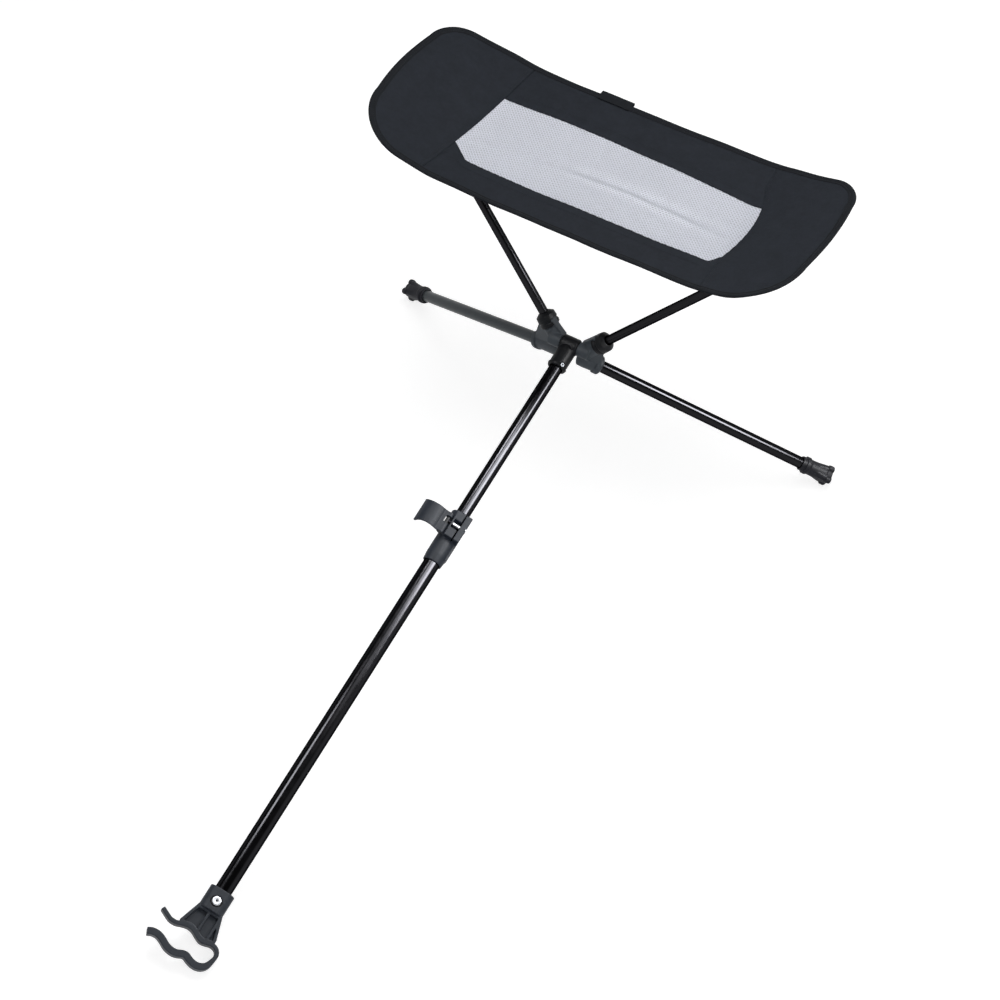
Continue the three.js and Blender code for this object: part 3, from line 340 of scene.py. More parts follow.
def placed(points, origin, axes):
    """Points measured along three axes from a point near the axle, in the row frame."""
    return AXLE + origin + points @ axes


def closed(path):
    """A path with its first point once more at its end."""
    return np.concatenate([path, path[:1]])


def travelled(path):
    """Distance along a path at each of its points."""
    run = np.linalg.norm(np.diff(path, axis=0), axis=1)
    return np.concatenate([[0], np.cumsum(run)])


def rounded(profile, radius):
    """A polyline whose inner corners become quadratic curves, as long as the radius on each
    side, or a share of the side where that is shorter."""
    steps, most = 4, 0.45
    profile = [np.asarray(p, float) for p in profile]
    out = [profile[0]]
    t = np.linspace(0, 1, steps + 1)[:, None]
    for before, corner, after in zip(profile, profile[1:], profile[2:]):
        back, on = before - corner, after - corner
        reach = min(radius, most * np.linalg.norm(back), most * np.linalg.norm(on))
        start, stop = corner + unit(back) * reach, corner + unit(on) * reach
        out.extend((1 - t) ** 2 * start + 2 * t * (1 - t) * corner + t**2 * stop)
    return np.array([*out, profile[-1]])


def facets(sides):
    """Angles of the facets round an axis."""
    return np.arange(sides) * (2 * np.pi / sides)


def turned(rows, turn):
    """Grid of points round the third axis from rows of radius and height, each one number or
    one for each angle."""
    radius, height = (np.array([row[k] + 0 * turn for row in rows]) for k in (0, 1))
    return np.stack([radius * np.cos(turn), radius * np.sin(turn), height], -1)


def ring_of_turning(name, profile, radius, sides, origin, axes):
    """A hollow body turned from a closed profile, with rounded corners and a UV in metres."""
    middle = (np.asarray(profile[0]) + np.asarray(profile[-1])) / 2
    profile = rounded([middle, *profile, middle], radius)[:-1]
    along = travelled(profile)
    along = np.append(along, along[-1] + (along[-1] - along[-2]))
    girth = np.linspace(0, 2 * np.pi * profile[:, 0].max(), sides + 1)
    uv = np.stack(np.meshgrid(girth, along), -1)
    points = placed(turned(profile, facets(sides)), origin, axes)
    return surface(name, points, uv, ring=True)


def from_upright(direction):
    """The axes of a frame whose third axis was turned straight from upright to a direction."""
    x, y, z = direction
    lean = 1 + z
    first = [1 - x * x / lean, -x * y / lean, -x]
    second = [-x * y / lean, 1 - y * y / lean, -y]
    return np.array([first, second, direction])


def spaced(path, pitch, ends_meet):
    """Points at an even pitch along a path of points, with the other columns carried along."""
    if ends_meet:
        path = closed(path)
    reach = travelled(path[:, :3])
    number = max(2, int(round(reach[-1] / pitch)))
    at = (np.arange(number) + 0.5) * (reach[-1] / number)
    return np.stack([np.interp(at, reach, path[:, k]) for k in range(path.shape[1])], 1)


def smooth(t):
    """Zero below 0, one above 1, and 3t^2 - 2t^3 between."""
    t = np.clip(t, 0, 1)
    return t * t * (3 - 2 * t)


# ---- Shape of the sling

# Long shallow waves in the cloth: height, turns for each metre of X and of Y, and start
WAVES = ((0.0006, 19, 27, 0.4), (0.0004, 43, -23, 1.3), (0.0002, 88, 61, 2.1))
# Folds of the wings, in the same terms
FOLD_HEIGHT, FOLD_X, FOLD_Y, FOLD_START = 0.0006, 75, 30, 0.8
# Puckers: turns for each metre, turns of their unevenness, and how far they reach
SEAM_PUCKERS, RIM_PUCKERS = (660, 70, 0.004), (610, 55, 0.0035)
# Height of the hem's step and the width of its outer and its inner slope
HEM_STEP, HEM_SLOPE, RIM_SLOPE = 0.0003, 0.0012, 0.001


def kink_at(y):
    """X where a wing starts: a straight line from the near kink to the far one."""
    s = sizes("sling")
    lean = (s.kink_far - s.kink_near) * (y - s.near_y) / (s.far_y - s.near_y)
    return s.kink_near + lean


def sling_height(x, y):
    """A plane that falls towards the far edge, less a parabolic sag, plus a wing on each side
    that rises like half of d + sqrt(d^2 + blend^2), where d is the distance beyond the kink."""
    s = sizes("sling")
    beyond = np.abs(x) - kink_at(y)
    wing = s.slope * 0.5 * (beyond + np.hypot(beyond, s.blend))
    middle = (s.near_y + s.far_y) / 2
    across = np.maximum(0, 1 - ((y - middle) / (s.far_y - middle)) ** 2)
    lengthwise = np.maximum(0, 1 - (x / s.wing_end) ** 2)
    fall = (s.far_rise - s.near_rise) / (s.far_y - s.near_y)
    return s.near_rise + fall * (y - s.near_y) + wing - s.sag * across * lengthwise


def seam_beside(x, y):
    """Distance from the middle of the wing seam on the side that x is on."""
    return np.where(x > 0, seam_at(1, y), seam_at(-1, y))


def puckering(along, away, turns, unevenness, reach):
    """Short uneven waves along a seam, which die away from it."""
    uneven = turns * along + 2 * np.sin(unevenness * along)
    return np.sin(uneven) * np.exp(-away / reach)


def relief(x, y):
    """What tension and sewing add to the cloth's height: long shallow waves, short puckers at
    the wing seams and the window's rims, the step of the window's hem, and the wings' folds."""
    s = sizes("sling")
    waves = sum(high * np.sin(a * x + b * y + start) for high, a, b, start in WAVES)
    at_seam = puckering(y, np.abs(np.abs(x) - seam_beside(x, y)), *SEAM_PUCKERS)
    rim = np.maximum(window_near_rim(x) - y, y - window_far_rim(x))
    inside = smooth((s.kink_far - np.abs(x)) / 0.01)
    at_rim = puckering(x, np.abs(rim), *RIM_PUCKERS)
    hem = HEM_STEP * smooth((s.hem - rim) / HEM_SLOPE)
    hem = hem * smooth((rim + 2 * RIM_SLOPE) / RIM_SLOPE)
    wing = smooth((np.abs(x) - s.kink_far) / 0.03)
    fold = 1 + np.sin(FOLD_X * np.abs(x) - FOLD_Y * y + FOLD_START)
    waves += FOLD_HEIGHT * wing * fold
    return waves + s.puckers * (at_seam + at_rim * inside) + hem * inside


def sling_points(x, y, offset):
    """Points of the sling at plan positions, moved along its normal by an offset, and the
    normals, which come from the height's slopes."""
    step = sizes("sling").blend / 10
    dx = (sling_height(x + step, y) - sling_height(x - step, y)) / (2 * step)
    dy = (sling_height(x, y + step) - sling_height(x, y - step)) / (2 * step)
    normal = np.stack([-dx, -dy, np.ones_like(dx)], -1)
    normal /= np.linalg.norm(normal, axis=-1, keepdims=True)
    place = np.stack([x, y, sling_height(x, y)], -1)
    return place + normal * (offset + relief(x, y))[..., None], normal


def corner_rise(x, radius, inset):
    """What is left of a radius where an edge turns into a wing's end by a quarter circle."""
    over = np.maximum(0, x - (sizes("sling").wing_end - inset - radius))
    return np.sqrt(np.maximum(0, radius * radius - over * over))


def near_edge(x, inset):
    """Y of the near edge at a distance inside it: straight, then a quarter circle."""
    s = sizes("sling")
    radius = s.near_radius - inset
    return s.near_y + inset + radius - corner_rise(x, radius, inset)


def far_edge(x, inset):
    """Y of the far edge at a distance inside it: a taper, then a quarter circle."""
    s = sizes("sling")
    radius = s.far_radius - inset
    along = np.maximum(0, (x - s.kink_far) / (s.wing_end - s.kink_far))
    start = s.far_y - inset - s.taper * along**s.taper_power - radius
    return start + corner_rise(x, radius, inset)


def stations(number, size):
    """Shares from 0 to 1, even inside and close together within a rim at both ends."""
    rim, most = 0.0012, 0.2
    near = np.array([0, 0.08, 0.3, 0.65, 1]) * min(most, rim / size)
    inside = np.linspace(near[-1], 1 - near[-1], number)[1:-1]
    return np.concatenate([near, inside, 1 - near[::-1]])


def rim_share(points):
    """How full the thickness is: most of a quarter ellipse from the rim of a grid inwards."""
    reach, lost = 0.0009, 0.92
    full = 1.0
    for axis in (0, 1):
        run = np.linalg.norm(np.diff(points, axis=axis), axis=-1)
        start = np.zeros_like(np.take(points[..., 0], [0], axis))
        along = np.concatenate([start, np.cumsum(run, axis)], axis)
        total = np.take(along, [-1], axis)
        edge = np.clip(np.minimum(along, total - along) / reach, 0, 1)
        full = full * np.sqrt(1 - (1 - edge) ** 2 * lost)
    return full


def window_corner(beyond, run, rise, power=1.0):
    """How much a rim of the window rises over a corner's run, and a little past it."""
    past = 1.3
    return np.clip(beyond / run, 0, past) ** power * rise


def window_near_rim(x):
    """Y of the window's near rim: a slightly leaning line with a cut corner at each end."""
    s = sizes("sling")
    left = window_corner(-x - s.cut_x, s.cut_run, s.cut_rise)
    right = window_corner(x - s.tight_x, s.tight_run, s.tight_rise, power=1.4)
    return s.window_near + s.window_lean * x + left + right


def window_far_rim(x):
    """Y of the window's far rim, a parabola."""
    s = sizes("sling")
    return s.window_far - s.far_fall * ((x - s.far_peak) / s.far_span) ** 2


def seam_at(side, y):
    """Distance of a wing's seam from the middle: the kink's line on the left, and on the right
    the farther out of that line and a parabola round the window's end."""
    s = sizes("sling")
    before_kink, blend = 0.0006, 0.0008
    line = kink_at(y) - before_kink
    if side < 0:
        return line
    end = s.bulge_x - s.bulge_fall * ((y - s.bulge_y) / s.bulge_span) ** 2
    return line + 0.5 * (end - line + np.hypot(end - line, blend))


def tucked(x, y):
    """How deep cloth lies where it runs under a wing: none until near the seam, then one
    thickness of cloth and a gap."""
    before, slope, gap = 0.0022, 0.002, 0.0001
    past = smooth((np.abs(x) - seam_beside(x, y) + before) / slope)
    return -(sizes("sling").cloth + gap) * past


def outline():
    """The sling's closed plan outline, anticlockwise from the middle of the near edge."""
    s = sizes("sling")
    near_start, far_start = s.wing_end - s.near_radius, s.wing_end - s.far_radius
    corner = np.sin(np.linspace(0, np.pi / 2, 40)[1:])
    near_x = [np.linspace(0, near_start, 90), near_start + s.near_radius * corner]
    far_x = [far_start + s.far_radius * corner[::-1], np.linspace(far_start, 0, 100)]
    near_x, far_x = np.concatenate(near_x), np.concatenate(far_x)
    low, high = near_edge(s.wing_end, 0), far_edge(s.wing_end, 0)
    b = np.linspace(0, 1, 60)[1:-1]
    end = [s.wing_end + s.bow * 4 * b * (1 - b), low + (high - low) * b]
    parts = ([near_x, near_edge(near_x, 0)], end, [far_x, far_edge(far_x, 0)])
    right = np.concatenate([np.stack(part, 1) for part in parts])
    left = right[1:-1][::-1] * (-1, 1)
    return np.concatenate([right, left])


def along_outline(inward):
    """Plan points at distances inside the outline: one row for each outline point."""
    edge = outline()
    run = np.roll(edge, -1, 0) - np.roll(edge, 1, 0)
    run /= np.linalg.norm(run, axis=1, keepdims=True)
    inside = np.stack([-run[:, 1], run[:, 0]], 1)
    return edge[:, None, :] + inside[:, None, :] * np.asarray(inward)[None, :, None]


# ---- Shader nodes


def fill(tree, sockets, values):
    """Sets the plain values on a node's sockets and joins the linked ones."""
    for key, value in values.items():
        if isinstance(value, bpy.types.NodeSocket):
            tree.links.new(value, sockets[key])
        else:
            sockets[key].default_value = value


def node(tree, kind, values=None, **settings):
    """A new node with its settings and its inputs."""
    made = tree.nodes.new(kind)
    for key, value in settings.items():
        setattr(made, key, value)
    fill(tree, made.inputs, values or {})
    return made


def maths(tree, operation, a, b=0.0, c=0.0, clamp=False):
    """The output of one Math node."""
    values = {0: a, 1: b, 2: c}
    made = node(tree, "ShaderNodeMath", values, operation=operation, use_clamp=clamp)
    return made.outputs[0]


def vector_maths(tree, operation, *values):
    """The outputs of one Vector Math node."""
    values = dict(enumerate(values))
    return node(tree, "ShaderNodeVectorMath", values, operation=operation).outputs


def noise(tree, place, scale, detail):
    """A noise of a scale in turns for each metre."""
    values = {"Vector": place, "Scale": scale, "Detail": detail}
    return node(tree, "ShaderNodeTexNoise", values).outputs["Fac"]


def ramp(tree, value, start, stop, low=0.0, high=1.0, way="LINEAR"):
    """A value between start and stop turned into one between low and high."""
    values = {"Value": value, "From Min": start, "From Max": stop}
    values |= {"To Min": low, "To Max": high}
    made = node(tree, "ShaderNodeMapRange", values, interpolation_type=way)
    return made.outputs[0]


def new_group(name, values, outputs):
    """A shader group that takes a vector and values, its input and its output sockets."""
    tree = bpy.data.node_groups.new(name, "ShaderNodeTree")
    add, number = tree.interface.new_socket, "NodeSocketFloat"
    add("Vector", in_out="INPUT", socket_type="NodeSocketVector")
    for label, default in values.items():
        add(label, in_out="INPUT", socket_type=number).default_value = default
    for label in outputs:
        add(label, in_out="OUTPUT", socket_type=number)
    given, out = tree.nodes.new("NodeGroupInput"), tree.nodes.new("NodeGroupOutput")
    return tree, given.outputs, out.inputs


def weave_group():
    """Plain weave: the product of two sines of the thread count, with noise in the yarn."""
    values = {"Pitch": 0.0006, "Unevenness": 0.3}
    tree, given, out = new_group("plain_weave", values, ["Height", "Shade"])
    axes = node(tree, "ShaderNodeSeparateXYZ", {0: given["Vector"]}).outputs
    turns = [maths(tree, "DIVIDE", axes[axis], given["Pitch"]) for axis in "XY"]
    waves = [maths(tree, "SINE", maths(tree, "MULTIPLY", t, math.pi)) for t in turns]
    over = maths(tree, "MULTIPLY", *waves)
    yarn = noise(tree, given["Vector"], scale=240.0, detail=4.0)
    uneven = maths(tree, "MULTIPLY", yarn, given["Unevenness"])
    height = maths(tree, "MULTIPLY_ADD", over, 0.5, 0.5)
    shade = maths(tree, "MULTIPLY_ADD", uneven, 0.7, 0.86)
    fill(tree, out, {"Height": maths(tree, "ADD", height, uneven), "Shade": shade})
    return tree


def grain_group():
    """Moulded grain: fine noise for the height, and broad noise that shades the surface."""
    values = {"Scale": 1800.0, "Patches": 0.2}
    tree, given, out = new_group("moulded_grain", values, ["Height", "Shade"])
    fine = noise(tree, given["Vector"], scale=given["Scale"], detail=3.0)
    broad = noise(tree, given["Vector"], scale=60.0, detail=3.0)
    shade = maths(tree, "MULTIPLY", maths(tree, "SUBTRACT", broad, 0.5), given["Patches"])
    fill(tree, out, {"Height": fine, "Shade": maths(tree, "ADD", shade, 1.0)})
    return tree


def wear_group():
    """Worn edges: how sharply the surface bends outwards, broken up by noise."""
    tree, given, out = new_group("edge_wear", {"From": 0.53, "To": 0.62}, ["Mask"])
    bend = node(tree, "ShaderNodeNewGeometry").outputs["Pointiness"]
    broken = noise(tree, given["Vector"], scale=320.0, detail=4.0)
    edge = ramp(tree, bend, given["From"], given["To"])
    fill(tree, out, {"Mask": maths(tree, "MULTIPLY", edge, broken, clamp=True)})
    return tree


def drawn_group():
    """Drawn metal: noise that is long along a tube and short around it, and broad smears."""
    values = {"Around": 1400.0, "Along": 14.0}
    tree, given, out = new_group("drawn_lines", values, ["Height", "Shade"])
    scale = {0: given["Around"], 1: given["Along"], 2: 1.0}
    scale = node(tree, "ShaderNodeCombineXYZ", scale).outputs[0]
    stretched = vector_maths(tree, "MULTIPLY", given["Vector"], scale)[0]
    lines = noise(tree, stretched, scale=1.0, detail=4.0)
    smears = noise(tree, given["Vector"], scale=55.0, detail=4.0)
    fill(tree, out, {"Height": lines, "Shade": smears})
    return tree


def knit_group():
    """Open knit: staggered elliptical holes, and the yarn's round height about them."""
    values = {"Wide": 0.0041, "High": 0.0021}
    tree, given, out = new_group("open_knit", values, ["Height", "Hole", "Shade"])
    axes = node(tree, "ShaderNodeSeparateXYZ", {0: given["Vector"]}).outputs
    row = maths(tree, "DIVIDE", axes["Y"], given["High"])
    odd = maths(tree, "FLOORED_MODULO", maths(tree, "FLOOR", row), 2.0)
    column = maths(tree, "DIVIDE", axes["X"], given["Wide"])
    column = maths(tree, "MULTIPLY_ADD", odd, 0.5, column)
    away = []
    for place, radius in ((column, 0.40), (row, 0.24)):
        from_middle = maths(tree, "SUBTRACT", maths(tree, "FRACT", place), 0.5)
        radii = maths(tree, "DIVIDE", from_middle, radius)
        away.append(maths(tree, "POWER", radii, 2.0))
    far = maths(tree, "SQRT", maths(tree, "ADD", *away))
    yarn = maths(tree, "SUBTRACT", far, 1.0, clamp=True)
    fibres = noise(tree, given["Vector"], scale=420.0, detail=3.0)
    shade = maths(tree, "MULTIPLY_ADD", fibres, 0.16, 0.92)
    hole = ramp(tree, far, start=1.0, stop=0.75)
    height = maths(tree, "POWER", yarn, 0.5)
    fill(tree, out, {"Height": height, "Hole": hole, "Shade": shade})
    return tree


def new_material(name):
    """An empty material, its Principled shader's inputs and its kinds of coordinates."""
    made = bpy.data.materials.new(name)
    made.use_nodes = True
    tree = made.node_tree
    shader = next(n for n in tree.nodes if n.type == "BSDF_PRINCIPLED").inputs
    return made, tree, shader, node(tree, "ShaderNodeTexCoord").outputs


def effect(tree, group, place, **values):
    """A shared effect in a material, with that material's own values."""
    values = {"Vector": place} | values
    return node(tree, "ShaderNodeGroup", values, node_tree=group).outputs


def mixed_colour(tree, factor, first, second, blend="MIX"):
    """Two colours blended by a mask."""
    values = {0: factor, 6: first, 7: second}
    made = node(tree, "ShaderNodeMix", values, data_type="RGBA", blend_type=blend)
    return made.outputs[2]


def shaded(tree, tint, shade):
    """A colour times a value that changes over the surface."""
    grey = node(tree, "ShaderNodeCombineColor", {0: shade, 1: shade, 2: shade})
    return mixed_colour(tree, 1.0, (*tint, 1.0), grey.outputs[0], "MULTIPLY")


def bumped(tree, height, depth, distance):
    """A normal bent by a height."""
    values = {"Height": height, "Strength": depth, "Distance": distance}
    return node(tree, "ShaderNodeBump", values).outputs[0]


def roughened(tree, height, rough, span):
    """A roughness that varies with a height by a span about its middle."""
    return maths(tree, "MULTIPLY_ADD", height, span, rough - span / 2)


def tube_material(name, tint, groups, low, high, metallic):
    """Lacquered tube: a dark coat that stays dark at grazing angles, with drawn lines in its
    colour and faint smears in its roughness."""
    made, tree, shader, coordinate = new_material(name)
    drawn = effect(tree, groups["drawn"], coordinate["UV"])
    shade = maths(tree, "MULTIPLY_ADD", drawn["Height"], 0.3, 0.85)
    values = {
        "Base Color": shaded(tree, tint, shade),
        "Roughness": ramp(tree, drawn["Shade"], 0.3, 0.7, low, high),
        "Metallic": metallic,
        "Specular Tint": (0.25, 0.25, 0.25, 1.0),
        "Specular IOR Level": 0.25,
    }
    fill(tree, shader, values)
    return made


def plastic_material(name, tint, groups, rough, depth, shine):
    """Moulded plastic: fine grain, broad shading, and slightly paler worn edges."""
    made, tree, shader, coordinate = new_material(name)
    grain = effect(tree, groups["grain"], coordinate["Object"])
    wear = effect(tree, groups["wear"], coordinate["Object"])
    base = shaded(tree, tint, grain["Shade"])
    mask = maths(tree, "MULTIPLY", wear["Mask"], 0.35)
    values = {
        "Base Color": mixed_colour(tree, mask, base, (0.2, 0.21, 0.22, 1.0)),
        "Roughness": roughened(tree, grain["Height"], rough, 0.16),
        "Normal": bumped(tree, grain["Height"], depth, 0.0001),
        "Specular IOR Level": shine,
    }
    fill(tree, shader, values)
    return made


def steel_material(name, tint, groups, black_within):
    """Plated steel: metallic, with fine grain in the roughness. Within a given distance of the
    lever's pin, if there is one, the steel's colour is black."""
    made, tree, shader, coordinate = new_material(name)
    grain = effect(tree, groups["grain"], coordinate["Object"], Scale=900.0)
    base = shaded(tree, tint, grain["Shade"])
    if black_within:
        pin, blur = tuple(centre_of("lever_pin")), 0.0006
        away = vector_maths(tree, "DISTANCE", coordinate["Object"], pin)["Value"]
        mask = ramp(tree, away, black_within + blur, black_within - blur)
        base = mixed_colour(tree, mask, base, (0.01, 0.01, 0.012, 1.0))
    values = {
        "Base Color": base,
        "Roughness": roughened(tree, grain["Height"], 0.44, 0.12),
        "Normal": bumped(tree, grain["Height"], 0.1, 0.00005),
        "Metallic": 1.0,
    }
    fill(tree, shader, values)
    return made


def cloth_material(name, tint, groups, pitch, source, depth, rough, sheen):
    """Woven cloth: weave in the height, uneven yarn in the colour and a soft sheen."""
    made, tree, shader, coordinate = new_material(name)
    weave = effect(tree, groups["weave"], coordinate[source], Pitch=pitch)
    patches = {"Scale": 500.0, "Patches": 0.35}
    grain = effect(tree, groups["grain"], coordinate["Object"], **patches)
    shade = maths(tree, "MULTIPLY", weave["Shade"], grain["Shade"])
    values = {
        "Base Color": shaded(tree, tint, shade),
        "Roughness": roughened(tree, grain["Height"], rough, 0.12),
        "Normal": bumped(tree, weave["Height"], depth, 0.0002),
        "Sheen Weight": sheen,
        "Sheen Roughness": 0.5,
        "Specular IOR Level": 0.04,
    }
    fill(tree, shader, values)
    return made


def knit_material(name, tint, groups):
    """Open knit: pale yarn, holes that let light through and carry painted shade, and round yarn
    in the height.
    """
    made, tree, shader, coordinate = new_material(name)
    knit = effect(tree, groups["knit"], coordinate["Object"])
    # Painted shade: the holes are coloured darker than the yarn, as if shadowed.
    dark = (tint[0] * 0.45, tint[1] * 0.45, tint[2] * 0.5, 1.0)
    painted_hole_shade = maths(tree, "MULTIPLY", knit["Hole"], 0.4)
    yarn = shaded(tree, tint, knit["Shade"])
    values = {
        "Base Color": mixed_colour(tree, painted_hole_shade, yarn, dark),
        "Alpha": maths(tree, "MULTIPLY_ADD", knit["Hole"], -0.62, 1.0, clamp=True),
        "Normal": bumped(tree, knit["Height"], 0.6, 0.0003),
        "Roughness": 0.7,
        "Specular IOR Level": 0.3,
    }
    fill(tree, shader, values)
    return made


# Colour, least and greatest roughness and metallic share of a tube
TUBE_FINISHES = {
    "gloss_tube": ("gloss", 0.16, 0.22, 1.0),
    # The left leg's duller tube is a paler copy of the black one, whose colour paints the light
    # on that leg.
    "satin_tube": ("satin", 0.36, 0.44, 0.0),
}
# Colour, roughness, depth of the grain and shine of a moulding
PLASTICS = {
    "hard_plastic": ("hard", 0.5, 0.12, 0.12),
    # The connectors' plastic is a paler copy of the clip's, which paints light on them.
    "connector_plastic": ("connector", 0.5, 0.12, 0.12),
    # The lock's plastic is a darker copy of the clip's, which paints shade on the collar and
    # lever.
    "lock_plastic": ("lock", 0.5, 0.1, 0.12),
    "dark_plastic": ("dark", 0.46, 0.06, 0.12),
    "rubber": ("foot", 0.5, 0.1, 0.1),
    "board": ("board", 0.5, 0.05, 0.2),
}
# Colour of a steel part, and the distance from the lever's pin within which it is black
STEELS = {
    "steel": ("steel", 0.0),
    # The head screw's steel is a darker copy of the clip screw's, which paints shade on it.
    "dull_steel": ("dull", 0.0),
    "oiled_steel": ("steel", 0.0088),
}
# Colour, pitch of the threads, coordinates, depth of the weave, roughness and sheen of a cloth
CLOTHS = {
    "cloth": ("cloth", 0.00055, "Object", 0.4, 0.85, 0.02),
    "tape": ("tape", 0.0009, "UV", 0.5, 0.85, 0.03),
    "thread": ("thread", 0.0003, "Object", 0.2, 0.7, 0.03),
}
MATERIALS = {}


def material_of(name):
    """A material by its name, which is a slot of the record where it has one. All are made when
    the first is asked for."""
    if not MATERIALS:
        groups = {
            "weave": weave_group(),
            "grain": grain_group(),
            "wear": wear_group(),
            "knit": knit_group(),
            "drawn": drawn_group(),
        }
        for make, rows in (
            (tube_material, TUBE_FINISHES),
            (plastic_material, PLASTICS),
            (steel_material, STEELS),
            (cloth_material, CLOTHS),
            (knit_material, {"mesh": ("knit",)}),
        ):
            for key, (tint, *values) in rows.items():
                tint = getattr(sizes("finishes"), tint)
                MATERIALS[key] = make(key, tint, groups, *values)
    return MATERIALS[name]


def centre_of(name):
    """Middle of a construction part's box."""
    low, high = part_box(name)
    return (np.array(low) + np.array(high)) / 2


def dress(piece, body, slot, *nodes, look=None):
    """Gives a new piece the material of its look, or else of its slot, hangs it on its body, and
    hides the nodes that it stands for.
    """
    piece.data.materials.append(material_of(look or slot))
    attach(piece, body)
    if nodes:
        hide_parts(*nodes)


# ---- Tubes, feet and collars

ARM_SLANT = (0.91, 0.23, 1.0)  # direction of the right arm


def crossing(sign):
    """Where the axes of one side's leg and arm cross."""
    t = sizes("tubes")
    return np.array([t.cross_x * sign, t.cross_y, t.cross_z])


def leg_axes(side):
    """Axes of one leg, which runs along the third."""
    return from_upright(unit(JOINTS[side + "_leg_pull"]["axis"]))


def arm_axes(sign):
    """Axes of one arm, which runs along the third."""
    return from_upright(unit([ARM_SLANT[0] * sign, *ARM_SLANT[1:]]))


def arm_reach(side, cross, direction):
    """Distance from the crossing point to the top of an arm's tube, from its node's box."""
    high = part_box(side + "_arm")[1]
    rim = math.sqrt(1 - direction[2] ** 2) * sizes("tubes").arm / 2
    return (high.z - AXLE[2] - cross[2] - rim) / direction[2]


def tube(name, diameter, start, stop, origin, axes):
    """A tube with rounded cut ends, between two distances from its origin."""
    t = sizes("tubes")
    outer, inner = diameter / 2, diameter / 2 - t.wall
    profile = [[inner, start], [outer, start], [outer, stop], [inner, stop]]
    return ring_of_turning(name, profile, t.lip, t.sides, origin, axes)


class FOOTREST_OT_tubes(bpy.types.Operator):
    """Makes the legs, the arms and both tubes of the pole with rounded ends"""

    bl_idname = "footrest.tubes"
    bl_label = "Tubes"

    def execute(self, context):
        t = sizes("tubes")
        for side, sign in SIDES.items():
            cross, axes = crossing(sign), leg_axes(side)
            leg = tube(side + "_leg_tube", t.leg, t.leg_start, t.leg_end, cross, axes)
            # The left leg gets the paler tube, whose colour paints the light on it.
            slot = "gloss_tube" if sign > 0 else "satin_tube"
            dress(leg, side + "_leg_set", slot, side + "_leg")
            axes = arm_axes(sign)
            reach = arm_reach(side, cross, axes[2])
            arm = tube(side + "_arm_tube", t.arm, t.arm_start, reach, cross, axes)
            dress(arm, "frame", "gloss_tube", side + "_arm")
        for name in ("inner", "outer"):
            ends = (getattr(t, name + end) for end in ("", "_start", "_end"))
            made = tube(name + "_pole_tube", *ends, np.zeros(3), POLE_AXES)
            dress(made, name + "_pole", "gloss_tube", name + "_tube")
        return {"FINISHED"}


def foot_points():
    """The foot as a radius over turn and station: turned lip, ring and neck, a body that flares
    towards the lobes, lobes with circular ends round a hub, and a dimpled end."""
    f = sizes("feet")
    soft, flare_start, rim, bevel = 0.0006, 0.2, 0.0002, 0.0003
    turn = facets(160)
    lobe = turn * f.lobes / (2 * np.pi)
    beside = (lobe + 0.5 - np.floor(lobe + 0.5) - 0.5) * (2 * np.pi / f.lobes)
    middle = f.star - f.knob
    reach = np.sqrt(np.maximum(f.knob**2 - (middle * np.sin(beside)) ** 2, 0))
    over = np.maximum(middle * np.cos(beside) + reach - f.hub, 0)
    star = f.hub + np.sqrt(over**2 + f.fillet**2) - f.fillet
    tube_end = f.end - f.floor
    inside = [[0, tube_end], [f.bore, tube_end], [f.bore, f.start], [f.lip, f.start]]
    ring = [[f.lip, f.ring_start], [f.ring, f.ring_start], [f.ring, f.ring_end]]
    rows = list(rounded([*inside, *ring, [f.neck, f.neck_end]], soft))
    for part in np.linspace(0.04, 1, 18):
        flare = f.flare * smooth((part - flare_start) / (1 - flare_start)) * (star - f.hub)
        body = f.neck + (f.body - f.neck) * part
        rows.append((body + flare, f.neck_end + (f.star_back - f.neck_end) * part))
    last = rows[-1][0]
    quarter = np.linspace(0, 1, 7) * math.pi / 2
    for bend in quarter:
        lift = f.rounding * (1 - math.cos(bend))
        rows.append((last + (star - last) * math.sin(bend), f.star_back + lift))
    for bend in quarter:
        drop = f.rounding * (1 - math.sin(bend))
        rows.append((star - f.rounding * (1 - math.cos(bend)), f.end - drop))
    edge = star - f.rounding
    for part in np.linspace(0.15, 1, 8):
        rows.append((edge + (f.dimple + soft - edge) * part, f.end))
    rows += [(f.dimple + rim, f.end), (f.dimple, f.end - bevel)]
    rows += [(radius, f.end - f.dimple_depth) for radius in (f.dimple, 0)]
    return turned(rows, turn)


class FOOTREST_OT_feet(bpy.types.Operator):
    """Makes the two lobed feet at the ends of the legs"""

    bl_idname = "footrest.feet"
    bl_label = "Feet"

    def execute(self, context):
        for side, sign in SIDES.items():
            points = placed(foot_points(), crossing(sign), leg_axes(side))
            foot = surface(side + "_foot_cap", points)
            dress(foot, side + "_leg_set", "rubber", side + "_foot")
        return {"FINISHED"}


# Outside of an arm's collar: radius and distance from the crossing point. The bore is cut
# with a clearance round the arm, and is wider as far as the connector's sleeve goes in.
COLLAR = [[0.0106, 0.0463], [0.0106, 0.0335], [0.0116, 0.0335], [0.0119, 0.0372]]
COLLAR += [[0.0109, 0.0382], [0.0109, 0.0398], [0.0119, 0.0408], [0.0115, 0.0472]]
COLLAR += [[0.0084, 0.0495], [0.0070, 0.0505]]


